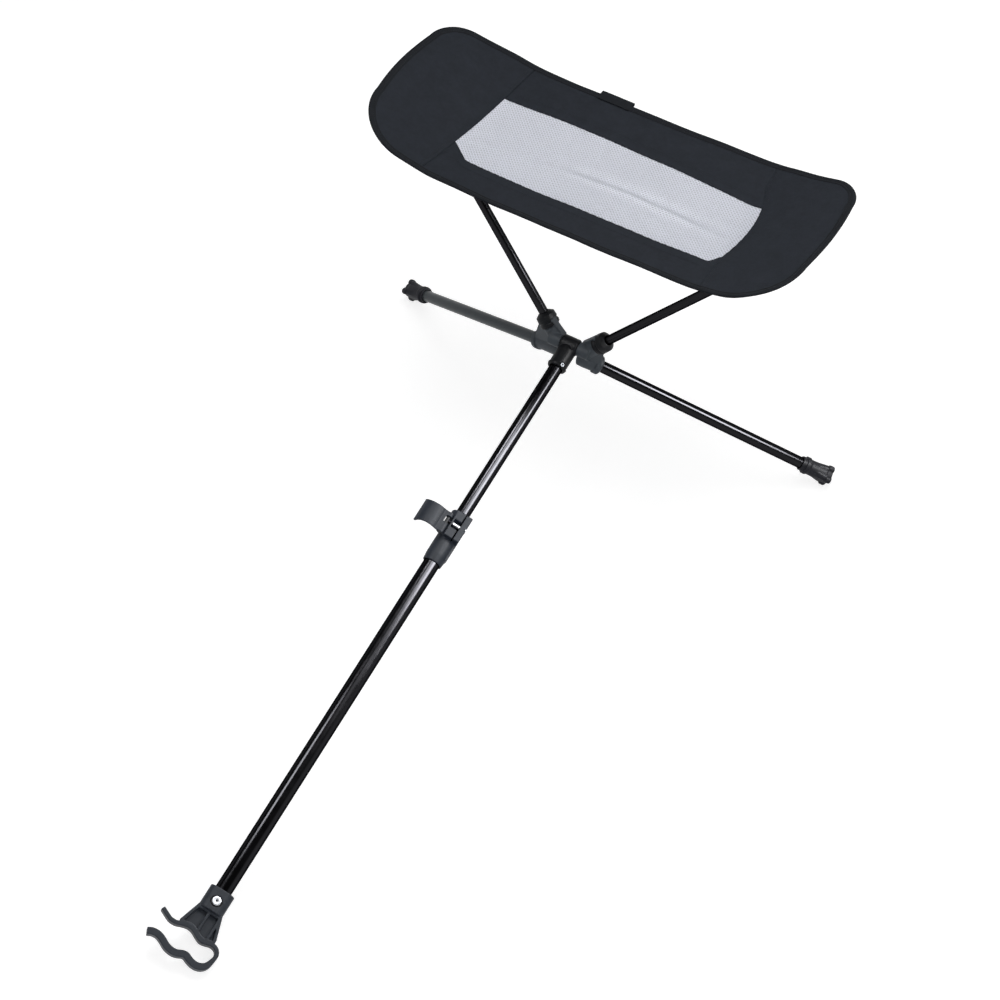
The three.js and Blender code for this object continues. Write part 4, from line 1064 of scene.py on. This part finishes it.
class FOOTREST_OT_collars(bpy.types.Operator):
    """Makes the turned collar rings where the arms leave the connectors"""

    bl_idname = "footrest.collars"
    bl_label = "Arm collars"

    def execute(self, context):
        clearance, soft, sides = 0.0003, 0.0004, 72
        bore = sizes("tubes").arm / 2 + clearance
        profile = [[bore, COLLAR[0][1]], *COLLAR, [bore, COLLAR[-1][1]]]
        for side, sign in SIDES.items():
            place = crossing(sign), arm_axes(sign)
            ring = ring_of_turning(side + "_arm_collar", profile, soft, sides, *place)
            dress(ring, "frame", "dark_plastic", side + "_arm_ring")
        return {"FINISHED"}


# ---- Fasteners and mouldings

# A screw's turn about the pole in degrees, its place along it, its shank's radius and end,
# the heights of its head's base and top, the head's radius, and its socket's width and depth
CLIP_SCREW = dict(
    turn=70.3, station=0.7545, shank=0.0025, tip=-0.0137, base=0.0107,
    top=0.0136, head=0.0049, across=0.003, depth=0.0022,
)
HEAD_SCREW = dict(
    turn=47.0, station=0.0303, shank=0.0015, tip=0.00505, base=0.0099,
    top=0.0115, head=0.0026, across=0.0017, depth=0.0012,
)
# The dark ring round the clip's screw, a washer that also paints the shadow round the screw's
# head: inner and outer radius, and lower and upper face
WASHER_AND_SHADOW = (0.0044, 0.0069, 0.0105, 0.0119)
# The finish of the other small parts
SMALL_PARTS = {
    "hub_axle": "steel",
    "clamp_nut": "steel",
    "clip_nut": "steel",
    "clamp_bolt": "oiled_steel",
    "lever_pin": "dark_plastic",
    "slide_bush": "dark_plastic",
    "right_arm_tip": "rubber",
    "left_arm_tip": "rubber",
    "right_wing_board": "board",
    "left_wing_board": "board",
}
# The finish of each moulding, the size of its remesh and how often it is relaxed
MOULDINGS = {
    # The connectors take the paler copy of the clip's plastic, which paints light on them.
    "right_connector": ("connector_plastic", 0.0005, 5),
    "left_connector": ("connector_plastic", 0.0005, 5),
    "pole_head": ("dark_plastic", 0.00045, 5),
    # The lock collar and lever take the darker copy of the clip's plastic, which paints shade on
    # them.
    "lock_collar": ("lock_plastic", 0.00045, 5),
    "cam_lever": ("lock_plastic", 0.0004, 5),
    "chair_clip": ("hard_plastic", 0.00045, 6),
}


def screw_axes(degrees):
    """Axes of a screw across the pole, turned by an angle from the sling's direction."""
    turn = math.radians(degrees)
    axis = POLE_AXES[0] * math.cos(turn) + POLE_AXES[1] * math.sin(turn)
    return np.array([POLE, np.cross(axis, POLE), axis])


def button_screw(name, turn, station, shank, tip, base, top, head, across, depth):
    """A screw whose head has a rounded rim and a six-sided socket: the socket's radius is the
    distance to a hexagon's side, and every other row is a circle."""
    soft, flat, crown, bevel, bottom = 0.0006, 0.72, 0.0001, 0.0003, 0.0004
    around = facets(96)
    sector = around - np.floor(around / (np.pi / 3) + 0.5) * (np.pi / 3)
    hexagon = across / 2 / np.cos(sector)
    section = [[0, tip], [shank, tip], [shank, base], [head, base], [head, top]]
    rows = list(rounded([*section, [head * flat, top + crown]], soft))
    rows += [(hexagon + bevel, top + crown), (hexagon, top), (hexagon, top - depth)]
    rows.append((0, top - depth - bottom))
    points = placed(turned(rows, around), POLE * station, screw_axes(turn))
    return surface(name, points)


class FOOTREST_OT_fasteners(bpy.types.Operator):
    """Makes both socket screws and the dark washer under the clip's screw, which also paints the
    shadow round its head, and gives the other small parts their finish
    """

    bl_idname = "footrest.fasteners"
    bl_label = "Fasteners"

    def execute(self, context):
        soft, sides = 0.0002, 72
        clip = button_screw("clip_button_screw", **CLIP_SCREW)
        dress(clip, "outer_pole", "steel", "clip_screw")
        # Painted shadow: a dark ring round the clip's screw, partly a washer and partly the
        # shade round its head.
        inner, outer, low, high = WASHER_AND_SHADOW
        profile = [[inner, low], [outer, low], [outer, high], [inner, high]]
        place = POLE * CLIP_SCREW["station"], screw_axes(CLIP_SCREW["turn"])
        washer_and_shadow = ring_of_turning("clip_screw_washer", profile, soft, sides, *place)
        dress(washer_and_shadow, "outer_pole", "dark_plastic")
        head = button_screw("head_button_screw", **HEAD_SCREW)
        # The head screw takes the darker copy of the steel, which paints shade on it.
        dress(head, "inner_pole", "steel", "head_screw", look="dull_steel")
        keep_sharp = angle_smooth()
        for name, look in SMALL_PARTS.items():
            part = finish_node(name, look)
            part.modifiers.new("angle", "NODES").node_group = keep_sharp
        return {"FINISHED"}


def angle_smooth():
    """Geometry nodes that smooth every face and keep edges sharper than an angle."""
    kind, sharpest = "GeometryNodeSetShadeSmooth", math.radians(35)
    tree = bpy.data.node_groups.new("angle_smooth", "GeometryNodeTree")
    add, geometry = tree.interface.new_socket, "NodeSocketGeometry"
    for way in ("INPUT", "OUTPUT"):
        add("Geometry", in_out=way, socket_type=geometry)
    given, out = tree.nodes.new("NodeGroupInput"), tree.nodes.new("NodeGroupOutput")
    bend = tree.nodes.new("GeometryNodeInputMeshEdgeAngle").outputs["Unsigned Angle"]
    compare = {"data_type": "FLOAT", "operation": "GREATER_THAN"}
    sharp = node(tree, "FunctionNodeCompare", {0: bend, 1: sharpest}, **compare)
    values = {"Geometry": given.outputs[0], "Shade Smooth": True}
    faces = node(tree, kind, values, domain="FACE").outputs[0]
    values = {"Geometry": faces, "Selection": sharp.outputs[0], "Shade Smooth": False}
    edges = node(tree, kind, values, domain="EDGE").outputs[0]
    fill(tree, out.inputs, {0: edges})
    return tree


def finish_node(name, look):
    """Gives a construction part its material and welds its loose triangles."""
    part = frame["nodes"][name]
    part.data.materials.clear()
    part.data.materials.append(material_of(look))
    part.modifiers.new("weld", "WELD").merge_threshold = 1e-5
    return part


class FOOTREST_OT_mouldings(bpy.types.Operator):
    """Remeshes the mouldings finely and relaxes them, which rounds their edges"""

    bl_idname = "footrest.mouldings"
    bl_label = "Mouldings"

    def execute(self, context):
        for name, (look, voxel, times) in MOULDINGS.items():
            part = finish_node(name, look)
            remesh = part.modifiers.new("remesh", "REMESH")
            remesh.mode = "VOXEL"
            remesh.voxel_size = voxel
            remesh.use_smooth_shade = True
            relax = part.modifiers.new("relax", "SMOOTH")
            relax.factor = 0.5
            relax.iterations = times
        return {"FINISHED"}


# ---- Cloth, binding and stitching


def hold(middle):
    """Works out the flat size and area that a piece's own grid gives, and does nothing more with
    them.
    """
    down, across = np.diff(middle, axis=0), np.diff(middle, axis=1)
    wide = np.linalg.norm(down, axis=-1).sum(0).max()
    long = np.linalg.norm(across, axis=-1).sum(1).max()
    area = np.linalg.norm(np.cross(down[:, :-1], across[:-1]), axis=-1).sum()
    size, area = (float(wide), float(long)), float(min(area, wide * long))


def cloth(name, x, y, depth, thickness, rests_on, stands_for, slot="cloth"):
    """A stretched sheet over a plan grid: its middle lies at a depth from the sling's surface,
    and its thickness closes to a rounded edge at the rims."""
    middle, normal = sling_points(x, y, depth + 0 * x)
    half = (thickness / 2 * rim_share(middle))[..., None] * normal
    top, bottom = AXLE + middle + half, AXLE + middle - half
    piece = slab(name, top, bottom, np.stack([x, y], -1))
    dress(piece, "frame", slot, stands_for)
    hold(middle)


def window_grid(a, y, reach):
    """X of a grid from one wing's seam to the other's, and as far under each wing."""
    left, right = seam_at(-1, y), seam_at(1, y)
    return (right + left + 2 * reach) * a - left - reach


def wing_grid(a, b, inset, start_at):
    """Plan points of a wing from a starting line to a distance inside the outline: the rows
    crowd together at both ends by a cosine, and the end bows outwards by a parabola."""
    s = sizes("sling")
    reach = (1 - np.cos(a * np.pi)) / 2
    guess = s.kink_near + (s.wing_end - inset - s.kink_near) * reach
    low, high = near_edge(guess, inset), far_edge(guess, inset)
    y = low + (high - low) * b
    start = start_at(y)
    x = start + (s.wing_end - inset - start) * reach
    return x + s.bow * 4 * b * (1 - b) * a * a, y


class FOOTREST_OT_sling(bpy.types.Operator):
    """Makes the two long borders and the two wings of the sling"""

    bl_idname = "footrest.sling"
    bl_label = "Sling cloth"

    def execute(self, context):
        s = sizes("sling")
        inset = 0.0014
        near, far = s.near_y + inset, s.far_y - inset
        a = stations(200, 2 * s.kink_near)[:, None]
        b = stations(40, 0.06)[None, :]
        for name, low, high in (
            ("near_border", lambda x: near + 0 * x, window_near_rim),
            ("far_border", window_far_rim, lambda x: far + 0 * x),
        ):
            x = s.kink_near * (2 * a - 1)
            for _ in range(4):
                y = low(x) + (high(x) - low(x)) * b
                x = window_grid(a, y, s.overlap)
            cloth(name + "_cloth", x, y, tucked(x, y), s.cloth, ["edge_tape"], name)
        a, b = stations(70, 0.1)[:, None], stations(120, 0.2)[None, :]
        for side, sign in SIDES.items():
            name, board = side + "_wing", [side + "_wing_board"]
            x, y = wing_grid(a, b, inset, lambda y: seam_at(sign, y))
            cloth(name + "_cloth", sign * x, y, 0.0, s.cloth, board, name)
        return {"FINISHED"}


def ridge(y, line, height, width):
    """A fold along a line: a bell curve across it."""
    return height * np.exp(-(((y - line) / width) ** 2))


class FOOTREST_OT_window(bpy.types.Operator):
    """Makes the open knit of the window, with a fold crease along it"""

    bl_idname = "footrest.window"
    bl_label = "Window knit"

    def execute(self, context):
        s = sizes("sling")
        under_near, under_far, gap = 0.006, 0.005, 0.0002
        valley_beyond, weakest, rim = 0.011, 0.15, 0.02
        a, b = stations(230, 0.35)[:, None], stations(90, 0.13)[None, :]
        low = s.window_near - under_near
        y = low + (s.window_far + under_far - low) * b + 0 * a
        x = window_grid(a, y, s.overlap)
        line = s.crease_y - s.crease_bow * (x - s.crease_x) ** 2
        shows = smooth((x + 0.06) / 0.08) * smooth((0.15 - x) / 0.06)
        crease = ridge(y, line, height=0.0026, width=0.0045)
        crease -= ridge(y, line + valley_beyond, height=0.0024, width=0.0065)
        crease *= weakest + (1 - weakest) * shows
        ripple = 0.0003 * np.sin(150 * x + 20 * np.sin(9 * y)) * np.sin(90 * y)
        inside = smooth((y - low) / rim) * smooth((s.window_far - y) / rim)
        inside = inside * smooth((seam_at(-1, y) - np.abs(x)) / 0.01)
        depth = -(s.cloth + s.knit) / 2 - gap + (crease + ripple) * inside
        borders = ["near_border_cloth", "far_border_cloth"]
        cloth("window_knit", x, y, depth, s.knit, borders, "mesh_panel", slot="mesh")
        return {"FINISHED"}


# Upper half of the binding's section: distance inside the outline and height, in millimetres
# for a binding that is 8 mm wide. It starts inside the fold and ends at the outline.
BINDING = [[1.4, -0.62], [1.4, 0.62], [8.0, 0.62], [8.0, 0.86], [7.6, 1.12], [6.6, 1.22]]
BINDING += [[5.9, 1.02], [5.5, 0.98], [5.1, 1.04], [4.4, 1.36], [3.0, 1.56], [1.6, 1.5]]
BINDING = np.array([*BINDING, [0.7, 1.2], [0.2, 0.66], [0.0, 0.0]])
BINDING_WIDTH, BINDING_SEAM, SEAM_HEIGHT = 0.008, 0.0055, 0.00104


class FOOTREST_OT_binding(bpy.types.Operator):
    """Makes the tape that is folded over the sling's edge, and the pull tag sewn to it"""

    bl_idname = "footrest.binding"
    bl_label = "Edge binding"

    def execute(self, context):
        s = sizes("sling")
        mm = 0.001
        lower = BINDING[2:-1][::-1] * (1, -1)
        section = np.concatenate([BINDING, lower])
        section = section * (s.binding / BINDING_WIDTH * mm, mm)
        plan = along_outline(section[:, 0])
        turns = np.arange(len(plan))[:, None]
        soft = 1 + 0.05 * np.sin(turns * 0.35 + 2 * np.sin(turns * 0.07))
        height = section[None, :, 1] * soft
        points, _ = sling_points(plan[..., 0], plan[..., 1], height)
        along, girth = travelled(closed(plan[:, 0])), travelled(closed(section))
        uv = np.stack(np.meshgrid(girth, along), -1)
        tape = surface("edge_tape", AXLE + points, uv, ring=True)
        dress(tape, "frame", "tape", "edge_binding")
        self.tag(s)
        return {"FINISHED"}

    def tag(self, s):
        """A strip of webbing carried along X: its section is a flat loop round the binding,
        whose distance inwards falls by a power and whose height is a clipped sine."""
        start, stop, number = -0.0715, -0.031, 41
        inner, deep, half_height, half_thick = 0.0055, 0.0145, 0.0020, 0.0004
        t = np.linspace(-1, 1, number)
        bend = np.sign(t) * np.abs(t) ** 0.9
        inward = inner - deep * np.abs(bend) ** 1.7
        height = np.sin(np.pi / 2 * np.clip(bend * 2.4, -1, 1)) * half_height
        middle = np.stack([inward, height], 1)
        run = np.gradient(middle, axis=0)
        run /= np.linalg.norm(run, axis=1, keepdims=True)
        beside = np.stack([-run[:, 1], run[:, 0]], 1) * half_thick
        a = np.linspace(start, stop, 30)[:, None]
        faces = []
        for line in (middle + beside, middle - beside):
            x, y = a + 0 * line[:, 0], s.far_y + line[:, 0] + 0 * a
            faces.append(AXLE + sling_points(x, y, line[:, 1] + 0 * a)[0])
        around = np.cumsum(np.full(number, 0.0009))
        tag = slab("pull_tag_loop", *faces, np.stack([a + 0 * t, around + 0 * a], -1))
        dress(tag, "frame", "tape", "pull_tag")
        hold(faces[0])


class FOOTREST_OT_backing(bpy.types.Operator):
    """Makes the linings under the wings and the sewn sleeves that take the arm tips"""

    bl_idname = "footrest.backing"
    bl_label = "Linings and sleeves"

    def execute(self, context):
        s = sizes("sling")
        gap, beyond_seam, thickness = 0.0003, 0.0052, 0.0008
        shallow, drop, slope, wide, long = 0.0012, 0.0023, 0.009, 0.09, 0.2
        a, b = stations(40, wide)[:, None], stations(70, long)[None, :]
        rim = np.minimum(np.minimum(a, 1 - a) * wide, np.minimum(b, 1 - b) * long)
        depth = -shallow - drop * smooth(rim / slope)
        for side, sign in SIDES.items():

            def start(y):
                bend = kink_at(y) + s.blend / 2
                return np.maximum(bend, seam_at(sign, y) + beyond_seam)

            name, board = side + "_lining_cloth", [side + "_wing_board"]
            x, y = wing_grid(a, b, s.binding + gap, start)
            cloth(name, sign * x, y, depth, thickness, board, side + "_wing_lining")
            self.sleeve(side, sign)
        return {"FINISHED"}

    def sleeve(self, side, sign):
        """A cloth sleeve over the arm tip: round below, drawn up to a narrow sewn fin that
        meets the lining. The fin's share of the radius is a high power of the cosine."""
        beyond, mouth_below, dome, bore_end = 0.0066, 0.0274, 0.004, 0.0022
        girth, bore, turned_in, flare, wall = 0.0083, 0.0073, 0.0006, 0.0004, 0.0007
        lining, least = 0.0038, 0.008
        cross, axes = crossing(sign), arm_axes(sign)
        tube_end = arm_reach(side, cross, axes[2])
        stop, mouth = tube_end + beyond, tube_end - mouth_below
        turn = facets(96)
        foot = cross + axes[2] * tube_end
        normal = sling_points(foot[:1], foot[1:2], np.zeros(1))[1][0]
        up = unit(normal - axes[2] * (normal @ axes[2]))
        beside = np.cross(axes[2], up)
        along = np.linspace(mouth, stop - dome, 26)
        centre = cross + axes[2] * along[:, None]
        gap = sling_height(centre[:, 0], centre[:, 1]) - centre[:, 2]
        reach = np.maximum(gap * normal[2] - lining, least) / (up @ normal)
        fin = np.maximum(0, np.cos(turn)) ** 40
        fold = 1 + 0.02 * np.sin(5 * turn + along[:, None] * 400)
        radius = girth * fold + (reach - girth)[:, None] * fin
        radius[:2] += flare
        rows = [(0, stop - bore_end), (bore, stop - bore_end), (bore, mouth + turned_in)]
        rows += [(radius[0] - wall, mouth), *zip(radius, along)]
        for part in (0.4, 0.75, 0.95):
            rows.append((radius[-1] * math.sqrt(1 - part**2), stop - dome + dome * part))
        points = turned([*rows, (0, stop)], turn) @ np.array([up, beside, axes[2]])
        sleeve = surface(side + "_arm_sleeve", AXLE + (cross + points))
        dress(sleeve, "frame", "cloth", side + "_arm_pocket")


def stitches(name, rows):
    """Sewing thread: on each row of places and normals, short rods at an even pitch that swell
    in the middle and lie half in the cloth, all in one mesh."""
    s = sizes("sling")
    places, swell, sides = [-1, -0.8, 0, 0.8, 1], [0, 0.75, 1, 0.75, 0], 6
    centres, tangents, normals = [], [], []
    for path, ends_meet in rows:
        fine = spaced(path, s.stitch_pitch, ends_meet)
        step = np.gradient(fine[:, :3], axis=0)
        tangents.append(step / np.linalg.norm(step, axis=1, keepdims=True))
        normals.append(fine[:, 3:] / np.linalg.norm(fine[:, 3:], axis=1, keepdims=True))
        centres.append(fine[:, :3])
    centre, tangent, normal = (
        np.concatenate(v)[:, None, None, :] for v in (centres, tangents, normals)
    )
    turn = facets(sides)[None, None, :, None]
    out = np.cos(turn) * normal + np.sin(turn) * np.cross(tangent, normal)
    along = np.array(places)[None, :, None, None] * tangent * s.stitch_length / 2
    swell = (np.array(swell) * s.thread / 2)[None, :, None, None]
    points = centre + along + out * swell
    rod = np.arange(len(places) * sides).reshape(-1, sides)
    rod = cells(np.pad(rod, ((0, 0), (0, 1)), "wrap")).reshape(1, -1)
    first = np.arange(len(centre))[:, None] * (len(places) * sides)
    piece = mesh_from(name, AXLE + points, rod + first)
    piece.data.materials.append(material_of("thread"))
    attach(piece, "frame")


def sewn(x, y, offset):
    """A stitch path: places on the sling at an offset, with the sling's normals beside them."""
    return np.concatenate(sling_points(x, y, offset + 0 * x), 1)


class FOOTREST_OT_stitching(bpy.types.Operator):
    """Sews the binding, the wing seams and the window's rim"""

    bl_idname = "footrest.stitching"
    bl_label = "Stitching"

    def execute(self, context):
        s = sizes("sling")
        from_edge, second, above, margin = 0.0018, 0.0052, 0.00005, 0.0012
        seam = BINDING_SEAM * s.binding / BINDING_WIDTH
        plan = along_outline([seam])[:, 0]
        for name, height in (
            ("binding_stitches", SEAM_HEIGHT),
            ("under_stitches", -SEAM_HEIGHT),
        ):
            stitches(name, [(sewn(plan[:, 0], plan[:, 1], height), True)])
        top = s.cloth / 2 + above
        rows = []
        y = np.linspace(s.near_y + s.binding, s.far_y - s.binding, 300)
        for sign in SIDES.values():
            for beside in (from_edge, second):
                rows.append((sewn(sign * (seam_at(sign, y) + beside), y, top), False))
        x = np.linspace(-s.kink_far + 0.004, s.kink_far, 300)
        for beside in (from_edge, s.hem - margin):
            rows.append((sewn(x, window_near_rim(x) - beside, top), False))
            rows.append((sewn(x, window_far_rim(x) + beside, top), False))
        stitches("seam_stitches", rows)
        return {"FINISHED"}


# ---- Stage

# Each lamp's direction and distance from a point, its width and height, the setting that holds
# its power, and the point, measured from the axle. Soft lamps light matt surfaces only, and
# the others show in glossy ones only.
LAMPS = {
    "soft_top": ((0.05, 0.1, 1.0), 1.7, (1.3, 1.3), "top", (0, 0, 0)),
    "soft_front": ((0.5, -0.6, 0.62), 2.0, (1.0, 1.0), "fill", (0, 0, 0)),
    "tube_key": ((0.72, 0.21, 0.66), 1.6, (0.85, 0.6), "key", (0, 0, 0)),
    "tube_wash": ((0.3, 0.17, 0.94), 1.6, (0.8, 0.6), "wash", (0, 0, 0)),
    "pole_wash": ((0.34, 0.17, 0.89), 1.5, (0.9, 0.5), "band", (0, -0.45, -0.09)),
    "pole_line": ((-0.36, 0.03, 0.93), 1.5, (0.5, 0.36), "line", (0, -0.66, -0.14)),
    "head_bar": ((-0.3, 0.12, 0.95), 1.5, (0.3, 0.16), "bar", (0, 0, 0)),
}


def put(name, data, axes, place):
    """A lamp or a camera in the scene, which looks against its third axis from a place."""
    made = linked(name, data)
    rows = [[*np.array(axes)[:, k], place[k]] for k in range(3)]
    made.matrix_world = Matrix([*rows, [0, 0, 0, 1]])
    return made


def area_lamp(name, direction, distance, size, power, aim):
    """A rectangular lamp that is turned towards its point."""
    lamp = bpy.data.lights.new(name, "AREA")
    lamp.shape = "RECTANGLE"
    lamp.size, lamp.size_y = size
    lamp.energy = getattr(sizes("stage"), power)
    towards = unit(direction)
    right = unit(np.cross([0, 1, 0.001], towards))
    axes = [right, np.cross(towards, right), towards]
    made = put(name, lamp, axes, AXLE + np.asarray(aim) + towards * distance)
    made.visible_camera = False
    made.visible_diffuse = name.startswith("soft")
    made.visible_glossy = not made.visible_diffuse


def direct_rays(tree):
    """One for rays from the camera and for reflected or refracted ones, else zero."""
    path = node(tree, "ShaderNodeLightPath").outputs
    seen = maths(tree, "MAXIMUM", path["Is Camera Ray"], path["Is Glossy Ray"])
    return maths(tree, "MAXIMUM", seen, path["Is Transmission Ray"])


class FOOTREST_OT_stage(bpy.types.Operator):
    """Sets the pale floor, the lamps, the world and the camera"""

    bl_idname = "footrest.stage"
    bl_label = "Stage"

    def execute(self, context):
        self.floor()
        self.world(context)
        for name, values in LAMPS.items():
            area_lamp(name, *values)
        self.camera(context)
        context.scene.view_settings.view_transform = "Standard"
        return {"FINISHED"}

    def floor(self):
        """A wide matt square with a glow that only direct rays see, and that turns to plain
        white between two distances."""
        half, near_end, far_start, glow = 14.0, 0.9, 2.6, 0.77
        corners = [(-half, -half, 0), (half, -half, 0), (half, half, 0), (-half, half, 0)]
        mesh = bpy.data.meshes.new("floor")
        mesh.from_pydata(corners, [], [(0, 1, 2, 3)])
        linked("floor", mesh)
        material = bpy.data.materials.new("floor")
        material.use_nodes = True
        tree = material.node_tree
        tree.nodes.clear()
        place = node(tree, "ShaderNodeTexCoord").outputs["Object"]
        away = vector_maths(tree, "LENGTH", place)["Value"]
        beyond = ramp(tree, away, near_end, far_start, way="SMOOTHSTEP")
        seen = direct_rays(tree)
        matt = node(tree, "ShaderNodeBsdfDiffuse", {"Color": (0.55, 0.55, 0.55, 1)})
        lift = {"Strength": maths(tree, "MULTIPLY", seen, glow)}
        lift = node(tree, "ShaderNodeEmission", lift)
        near = {0: matt.outputs[0], 1: lift.outputs[0]}
        near = node(tree, "ShaderNodeAddShader", near).outputs[0]
        white = node(tree, "ShaderNodeEmission", {"Strength": 1.0}).outputs[0]
        mixed = {0: maths(tree, "MULTIPLY", beyond, seen), 1: near, 2: white}
        mixed = node(tree, "ShaderNodeMixShader", mixed).outputs[0]
        node(tree, "ShaderNodeOutputMaterial", {0: mixed})
        mesh.materials.append(material)

    def world(self, context):
        """White at the horizon and darker overhead for direct rays, and an even grey for
        diffuse light."""
        s = sizes("stage")
        horizon, overhead = 0.22, 0.55
        world = bpy.data.worlds.new("studio")
        context.scene.world = world
        world.use_nodes = True
        tree = world.node_tree
        tree.nodes.clear()
        ray = node(tree, "ShaderNodeTexCoord").outputs["Generated"]
        height = node(tree, "ShaderNodeSeparateXYZ", {0: ray}).outputs["Z"]
        shade = ramp(tree, height, horizon, overhead, 1.0, s.ceiling, "SMOOTHSTEP")
        mixed = {0: direct_rays(tree), 2: s.ambient, 3: shade}
        mixed = node(tree, "ShaderNodeMix", mixed, data_type="FLOAT").outputs[0]
        back = {"Color": (1, 1, 1, 1), "Strength": mixed}
        back = node(tree, "ShaderNodeBackground", back).outputs[0]
        node(tree, "ShaderNodeOutputWorld", {0: back})

    def camera(self, context):
        """A long lens at the photograph's angle, for a square picture."""
        s = sizes("stage")
        a, e = s.azimuth, s.elevation
        right = np.array([math.cos(a), math.sin(a), 0])
        flat = math.cos(e)
        back = np.array([math.sin(a) * flat, -math.cos(a) * flat, math.sin(e)])
        up = np.cross(back, right)
        cos, sin = math.cos(s.roll), math.sin(s.roll)
        right, up = right * cos + up * sin, up * cos - right * sin
        data = bpy.data.cameras.new("camera")
        data.lens = s.lens
        data.sensor_width = 36.0
        place = AXLE + back * s.distance - right * s.right - up * s.up
        context.scene.camera = put("camera", data, [right, up, back], place)


OPERATORS = (
    FOOTREST_OT_stage,
    FOOTREST_OT_tubes,
    FOOTREST_OT_feet,
    FOOTREST_OT_collars,
    FOOTREST_OT_fasteners,
    FOOTREST_OT_mouldings,
    FOOTREST_OT_sling,
    FOOTREST_OT_window,
    FOOTREST_OT_binding,
    FOOTREST_OT_backing,
    FOOTREST_OT_stitching,
)


class FOOTREST_PT_panel(bpy.types.Panel):
    """Lists the footrest's pieces and their settings"""

    bl_label = "Footrest"
    bl_idname = "FOOTREST_PT_panel"
    bl_space_type = "VIEW_3D"
    bl_region_type = "UI"
    bl_category = "Footrest"

    def draw(self, context):
        for operator in OPERATORS:
            self.layout.operator(operator.bl_idname)
        for name, kind in SIZES.items():
            box = self.layout.box()
            for key in kind.__annotations__:
                label = key.replace("_", " ").capitalize()
                box.prop(getattr(context.scene, name), key, text=label)


def register():
    """Adds the settings, the operators and the panel."""
    for name, kind in SIZES.items():
        bpy.utils.register_class(kind)
        setattr(bpy.types.Scene, name, PointerProperty(type=kind))
    for kind in (*OPERATORS, FOOTREST_PT_panel):
        bpy.utils.register_class(kind)


def unregister():
    """Takes the settings, the operators and the panel away again."""
    for kind in (FOOTREST_PT_panel, *reversed(OPERATORS)):
        bpy.utils.unregister_class(kind)
    for name, kind in SIZES.items():
        delattr(bpy.types.Scene, name)
        bpy.utils.unregister_class(kind)


def main():
    """Builds everything in order."""
    register()
    bpy.ops.footrest.stage()
    bpy.ops.footrest.tubes()
    bpy.ops.footrest.feet()
    bpy.ops.footrest.collars()
    bpy.ops.footrest.fasteners()
    bpy.ops.footrest.mouldings()
    bpy.ops.footrest.sling()
    bpy.ops.footrest.window()
    bpy.ops.footrest.binding()
    bpy.ops.footrest.backing()
    bpy.ops.footrest.stitching()


if __name__ == "__main__":
    main()
